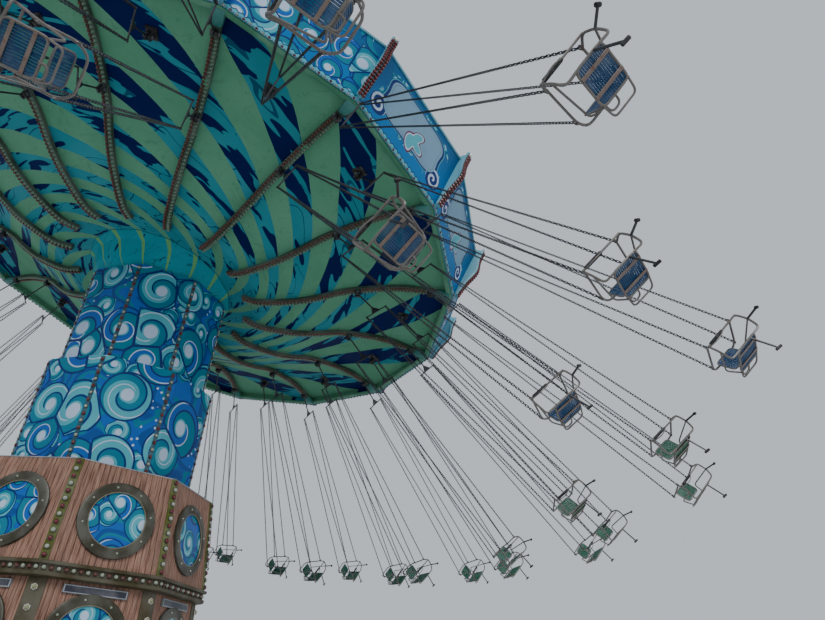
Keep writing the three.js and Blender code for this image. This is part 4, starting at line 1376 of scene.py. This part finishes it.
def chair_frame_shapes(seat, radius):
    """The tube frame: a rail round both sides and the back, the two sides, the seat's loop with two hoops
    behind it, a frame for the back, the front bar with its grip, and two rods."""

    def placed(points):
        return np.asarray(points, float) + (0, 0, seat)

    shapes = [tube(rounded(placed(mirrored(TOP_RAIL)), 0.06), radius)]
    for side in (-1, 1):
        shapes += chair_side(side, seat, radius)
    for half, thickness in ((SEAT_LOOP, radius), (BACK_LOOP, radius * 0.7)):
        loop = rounded(placed(mirrored(half)), 0.055, 5, ring=True)
        shapes.append(tube(loop, thickness, ring=True))
    for left, right, back in ((-0.16, 0.16, 0.235), (-0.145, -0.02, 0.185)):
        inset = (right - left) * 0.06
        rear_left, rear_right = (left + inset, back, -0.045), (right - inset, back, -0.045)
        hoop = [(right, 0.10, -0.024), rear_right, rear_left, (left, 0.10, -0.024)]
        shapes.append(tube(rounded(placed(hoop), 0.045, 5), radius * 0.8))
    shapes.append(tube(placed(mirrored([BAR_END])[::-1]), radius * 0.95))
    grip = lathe([(0.016, -GRIP_HALF), (0.022, -0.11), (0.022, 0.1), (0.018, GRIP_HALF)], 8, GRIP)
    shapes.append(repeat(grip, placed([(-GRIP_HALF, *BAR_END[1:])]), (0, 1, 0), (0, 0, 1), (1, 0, 0)))
    strap = rounded(placed([(-0.275, -0.28, 0.29), (-0.14, -0.33, 0.25), (0.02, -0.275, 0.305)]), 0.08, 5)
    shapes.append(tube(strap, radius * 0.55))
    for start, end, thickness, number in (
        (ELBOW, (0.385, -0.41, 0.12), 0.014, STEEL),
        ((0.365, -0.425, 0.12), (0.405, -0.395, 0.12), 0.021, GRIP),
        ((0.07, -0.247, 0.02), (0.098, -0.25, -0.295), radius, STEEL),
        ((0.058, -0.25, -0.28), (0.138, -0.25, -0.29), 0.018, GRIP),
    ):
        shapes.append(tube(placed([start, end]), thickness, 6, number))
    return shapes


def slats(count, half, length):
    """Slats side by side in the XY plane, running along Y."""
    gap = 0.003
    edges = np.linspace(-half, half, count + 1)
    sides = zip(edges[:-1] + gap / 2, edges[1:] - gap / 2)
    low, high, cut = -0.004, 0.005, 0.003
    return [block((left, -length / 2, low), (right, length / 2, high), cut, SEAT) for left, right in sides]


def chair_seat_shapes(seat):
    """The seat and its back, each of slats in a leaning plane of its own, and two straps under the seat."""
    back_tilt, seat_tilt = unit((0.0, 0.063, 0.24)), unit((0.0, 0.362, -0.048))
    wide, half = 0.17, 0.017
    straps = []
    for y in (-0.098, 0.083):
        straps.append(block((-wide, y - half, -0.018), (wide, y + half, -0.009), 0.003, STRAP))
    shapes = []
    for parts, middle, along in (
        (slats(13, 0.152, 0.35) + straps, (0, -0.068, seat), seat_tilt),
        (slats(11, 0.142, 0.225), (0, 0.1665, seat + 0.17), back_tilt),
    ):
        shapes += [repeat(shape, middle, (1, 0, 0), along, np.cross((1, 0, 0), along)) for shape in parts]
    return shapes


def chair_shapes(reach, sizes):
    """One chair with its stem, spreader and four chains, in its own frame."""
    seat = -reach
    under = -STEM - 0.008
    stem = block((-0.014, -0.011, -STEM), (0.014, 0.011, 0.025), 0.004, STEEL)
    spreader = tube(mirrored([(-0.26, 0, -STEM), (-0.235, 0, under)]), 0.0135, 6, STEEL)
    outline = [(-0.10, -STEM), (0.10, -STEM), (0.02, -STEM + 0.12), (-0.02, -STEM + 0.12)]
    gusset = carry([(0, -0.006, 0), (0, 0.006, 0)], outline, (1, 0, 0), UP, STEEL)
    shapes = [stem, spreader, gusset]
    for side in (-CHAIN_PLANE, CHAIN_PLANE):
        for y, z in (CHAIN_FRONT, CHAIN_REAR):
            knot = (side, math.copysign(0.012, y), -STEM - 0.01)
            shapes += chain(knot, (side, y, seat + z), sizes)
    return shapes + chair_frame_shapes(seat, sizes.tube_radius) + chair_seat_shapes(seat)


def chair_pieces(sizes):
    """Forty-eight chairs, each turned out to its flight about its own pin."""
    for ring in RINGS:
        shapes = chair_shapes(REACH[ring], sizes)
        pins, out, sideways, up = chair_frames(ring)
        half_bay = 0.5 if ring == "middle" else 0.0
        lean = np.cos(RIB_ANGLES + half_bay * BAY - LEAN_TOWARD)[:, None]
        flight = np.radians(FLIGHT[ring] + FLIGHT_LEAN * lean)
        across = np.cos(flight) * out + np.sin(flight) * up
        rising = np.cos(flight) * up - np.sin(flight) * out
        for k in range(RIBS):
            node = f"chair_{ring}_{k + 1:02d}"
            colour = "green" if GREEN_BAYS[0] < k + half_bay < GREEN_BAYS[1] else "blue"
            placed = [repeat(shape, pins[k], across[k], sideways[k], rising[k]) for shape in shapes]
            finishes = ["chair_tube", f"seat_{colour}", "seat_strap", "chain_steel", "black_grip"]
            piece(f"dressed_{node}", node, placed, finishes, [node])


# Finishes of the model's own nodes.
NODE_FINISHES = {
    "base_lower_tier": "boards",
    "base_upper_tier": "boards",
    "base_roof": "bronze_paint",
    "turntable_drum": "bearing_steel",
    "lower_sleeve": "lower_sleeve_art",
    "upper_sleeve": "upper_sleeve_art",
    "tilt_head": "head_steel",
    "crown_neck": "neck_art",
    "crown_ceiling": "ceiling_art",
    "crown_fascia": "fascia_art",
    "crown_roof": "roof_sheet",
}


def paint_nodes():
    """Gives the model's own nodes their finishes, in the slots that they have or in a first one."""
    for name, finish_name in NODE_FINISHES.items():
        node = frame["nodes"][name]
        if not node.material_slots:
            node.data.materials.append(None)
        for slot in node.material_slots:
            slot.material = material(finish_name)


# The stage.
def camera():
    """The photograph's camera: turned by yaw and pitch, and then rolled about its own view."""
    level_view = np.array((math.sin(CAMERA_YAW), math.cos(CAMERA_YAW), 0.0))
    forward = math.cos(CAMERA_PITCH) * level_view + math.sin(CAMERA_PITCH) * UP
    level = np.array((math.cos(CAMERA_YAW), -math.sin(CAMERA_YAW), 0.0))
    above = np.cross(level, forward)
    right = math.cos(CAMERA_ROLL) * level + math.sin(CAMERA_ROLL) * above
    up = math.cos(CAMERA_ROLL) * above - math.sin(CAMERA_ROLL) * level
    data = bpy.data.cameras.new("photo_camera")
    data.sensor_width = SENSOR
    data.lens = CAMERA_FOCUS_PIXELS * SENSOR / PHOTO_SIZE[0]
    data.clip_end = 500.0
    made = bpy.data.objects.new("photo_camera", data)
    turn = Matrix((right, up, -forward)).transposed().to_4x4()
    made.matrix_world = Matrix.Translation(CAMERA_PLACE) @ turn
    bpy.context.scene.collection.objects.link(made)
    bpy.context.scene.camera = made


def stage():
    """The pale floor just under the ride, an even sky and two soft lights."""
    mesh = bpy.data.meshes.new("floor")
    signs = ((-1, -1), (1, -1), (1, 1), (-1, 1))
    corners = [(x * FLOOR_HALF, y * FLOOR_HALF, -FLOOR_DEPTH) for x, y in signs]
    mesh.from_pydata(corners, [], [(0, 1, 2, 3)])
    mesh.materials.append(floor_finish("ride_floor"))
    floor = bpy.data.objects.new("floor", mesh)
    bpy.context.scene.collection.objects.link(floor)

    world = bpy.data.worlds.new("studio")
    world.use_nodes = True
    background = world.node_tree.nodes["Background"]
    background.inputs["Color"].default_value = SKY_COLOUR
    background.inputs["Strength"].default_value = SKY_STRENGTH
    bpy.context.scene.world = world
    for name, energy, spread, aim in LIGHTS:
        lamp = bpy.data.lights.new(name, "SUN")
        lamp.energy = energy
        lamp.angle = math.radians(spread)
        made = bpy.data.objects.new(name, lamp)
        made.rotation_mode = "QUATERNION"
        made.rotation_quaternion = Vector(aim).to_track_quat("-Z", "Y")
        bpy.context.scene.collection.objects.link(made)


# Operators, panel and registration.
class SWINGRIDE_OT_stage(bpy.types.Operator):
    """Add the camera, the pale floor and the soft light"""

    bl_idname = "swing_ride.stage"
    bl_label = "Stage"

    def execute(self, context):
        camera()
        stage()
        return {"FINISHED"}


class SWINGRIDE_OT_base(bpy.types.Operator):
    """Clad the base: boards, portholes, corner strips and their bulbs"""

    bl_idname = "swing_ride.base"
    bl_label = "Base"

    def execute(self, context):
        base_pieces(context.scene.swing_ride_sizes)
        return {"FINISHED"}


class SWINGRIDE_OT_cornice(bpy.types.Operator):
    """Build the cornice, its bulbs, the lamp bars under it and the roof's edge"""

    bl_idname = "swing_ride.cornice"
    bl_label = "Cornice"

    def execute(self, context):
        cornice_pieces(context.scene.swing_ride_sizes)
        return {"FINISHED"}


class SWINGRIDE_OT_tower(bpy.types.Operator):
    """Put strips of lights on the corners of the tower"""

    bl_idname = "swing_ride.tower"
    bl_label = "Tower lights"

    def execute(self, context):
        tower_pieces(context.scene.swing_ride_sizes)
        return {"FINISHED"}


class SWINGRIDE_OT_ceiling(bpy.types.Operator):
    """Dress the crown's underside: rib channels, bulbs, brackets, hangers and the rim"""

    bl_idname = "swing_ride.ceiling"
    bl_label = "Ceiling"

    def execute(self, context):
        sizes = context.scene.swing_ride_sizes
        rib_pieces(sizes)
        hanger_pieces()
        rim_pieces(sizes)
        return {"FINISHED"}


class SWINGRIDE_OT_fascia(bpy.types.Operator):
    """Edge the fascia and its fins, and cap the roof"""

    bl_idname = "swing_ride.fascia"
    bl_label = "Fascia and roof"

    def execute(self, context):
        fascia_pieces(context.scene.swing_ride_sizes)
        roof_pieces()
        return {"FINISHED"}


class SWINGRIDE_OT_chairs(bpy.types.Operator):
    """Hang the forty-eight chairs on their chains"""

    bl_idname = "swing_ride.chairs"
    bl_label = "Chairs"

    def execute(self, context):
        chair_pieces(context.scene.swing_ride_sizes)
        return {"FINISHED"}


class SWINGRIDE_OT_paint(bpy.types.Operator):
    """Give the model's own nodes their finishes"""

    bl_idname = "swing_ride.paint"
    bl_label = "Paint"

    def execute(self, context):
        paint_nodes()
        return {"FINISHED"}


OPERATORS = (
    SWINGRIDE_OT_stage,
    SWINGRIDE_OT_base,
    SWINGRIDE_OT_cornice,
    SWINGRIDE_OT_tower,
    SWINGRIDE_OT_ceiling,
    SWINGRIDE_OT_fascia,
    SWINGRIDE_OT_chairs,
    SWINGRIDE_OT_paint,
)


class SWINGRIDE_PT_panel(bpy.types.Panel):
    """Lists the ride's pieces, sizes and colours"""

    bl_label = "Swing Ride"
    bl_idname = "SWINGRIDE_PT_panel"
    bl_space_type = "VIEW_3D"
    bl_region_type = "UI"
    bl_category = "Swing Ride"

    def draw(self, context):
        for operator in OPERATORS:
            self.layout.operator(operator.bl_idname)
        for group in (context.scene.swing_ride_sizes, context.scene.swing_ride_colours):
            box = self.layout.box()
            for name in group.__annotations__:
                box.prop(group, name)


CLASSES = (SwingRideSizes, SwingRideColours, *OPERATORS, SWINGRIDE_PT_panel)


def register():
    """Registers the classes and gives every scene its sizes and colours."""
    for cls in CLASSES:
        bpy.utils.register_class(cls)
    bpy.types.Scene.swing_ride_sizes = PointerProperty(type=SwingRideSizes)
    bpy.types.Scene.swing_ride_colours = PointerProperty(type=SwingRideColours)


def unregister():
    """Takes away what register gave."""
    del bpy.types.Scene.swing_ride_colours
    del bpy.types.Scene.swing_ride_sizes
    for cls in reversed(CLASSES):
        bpy.utils.unregister_class(cls)


def main():
    """Builds the whole ride."""
    register()
    for operator in OPERATORS:
        family, name = operator.bl_idname.split(".")
        getattr(getattr(bpy.ops, family), name)()


if __name__ == "__main__":
    main()
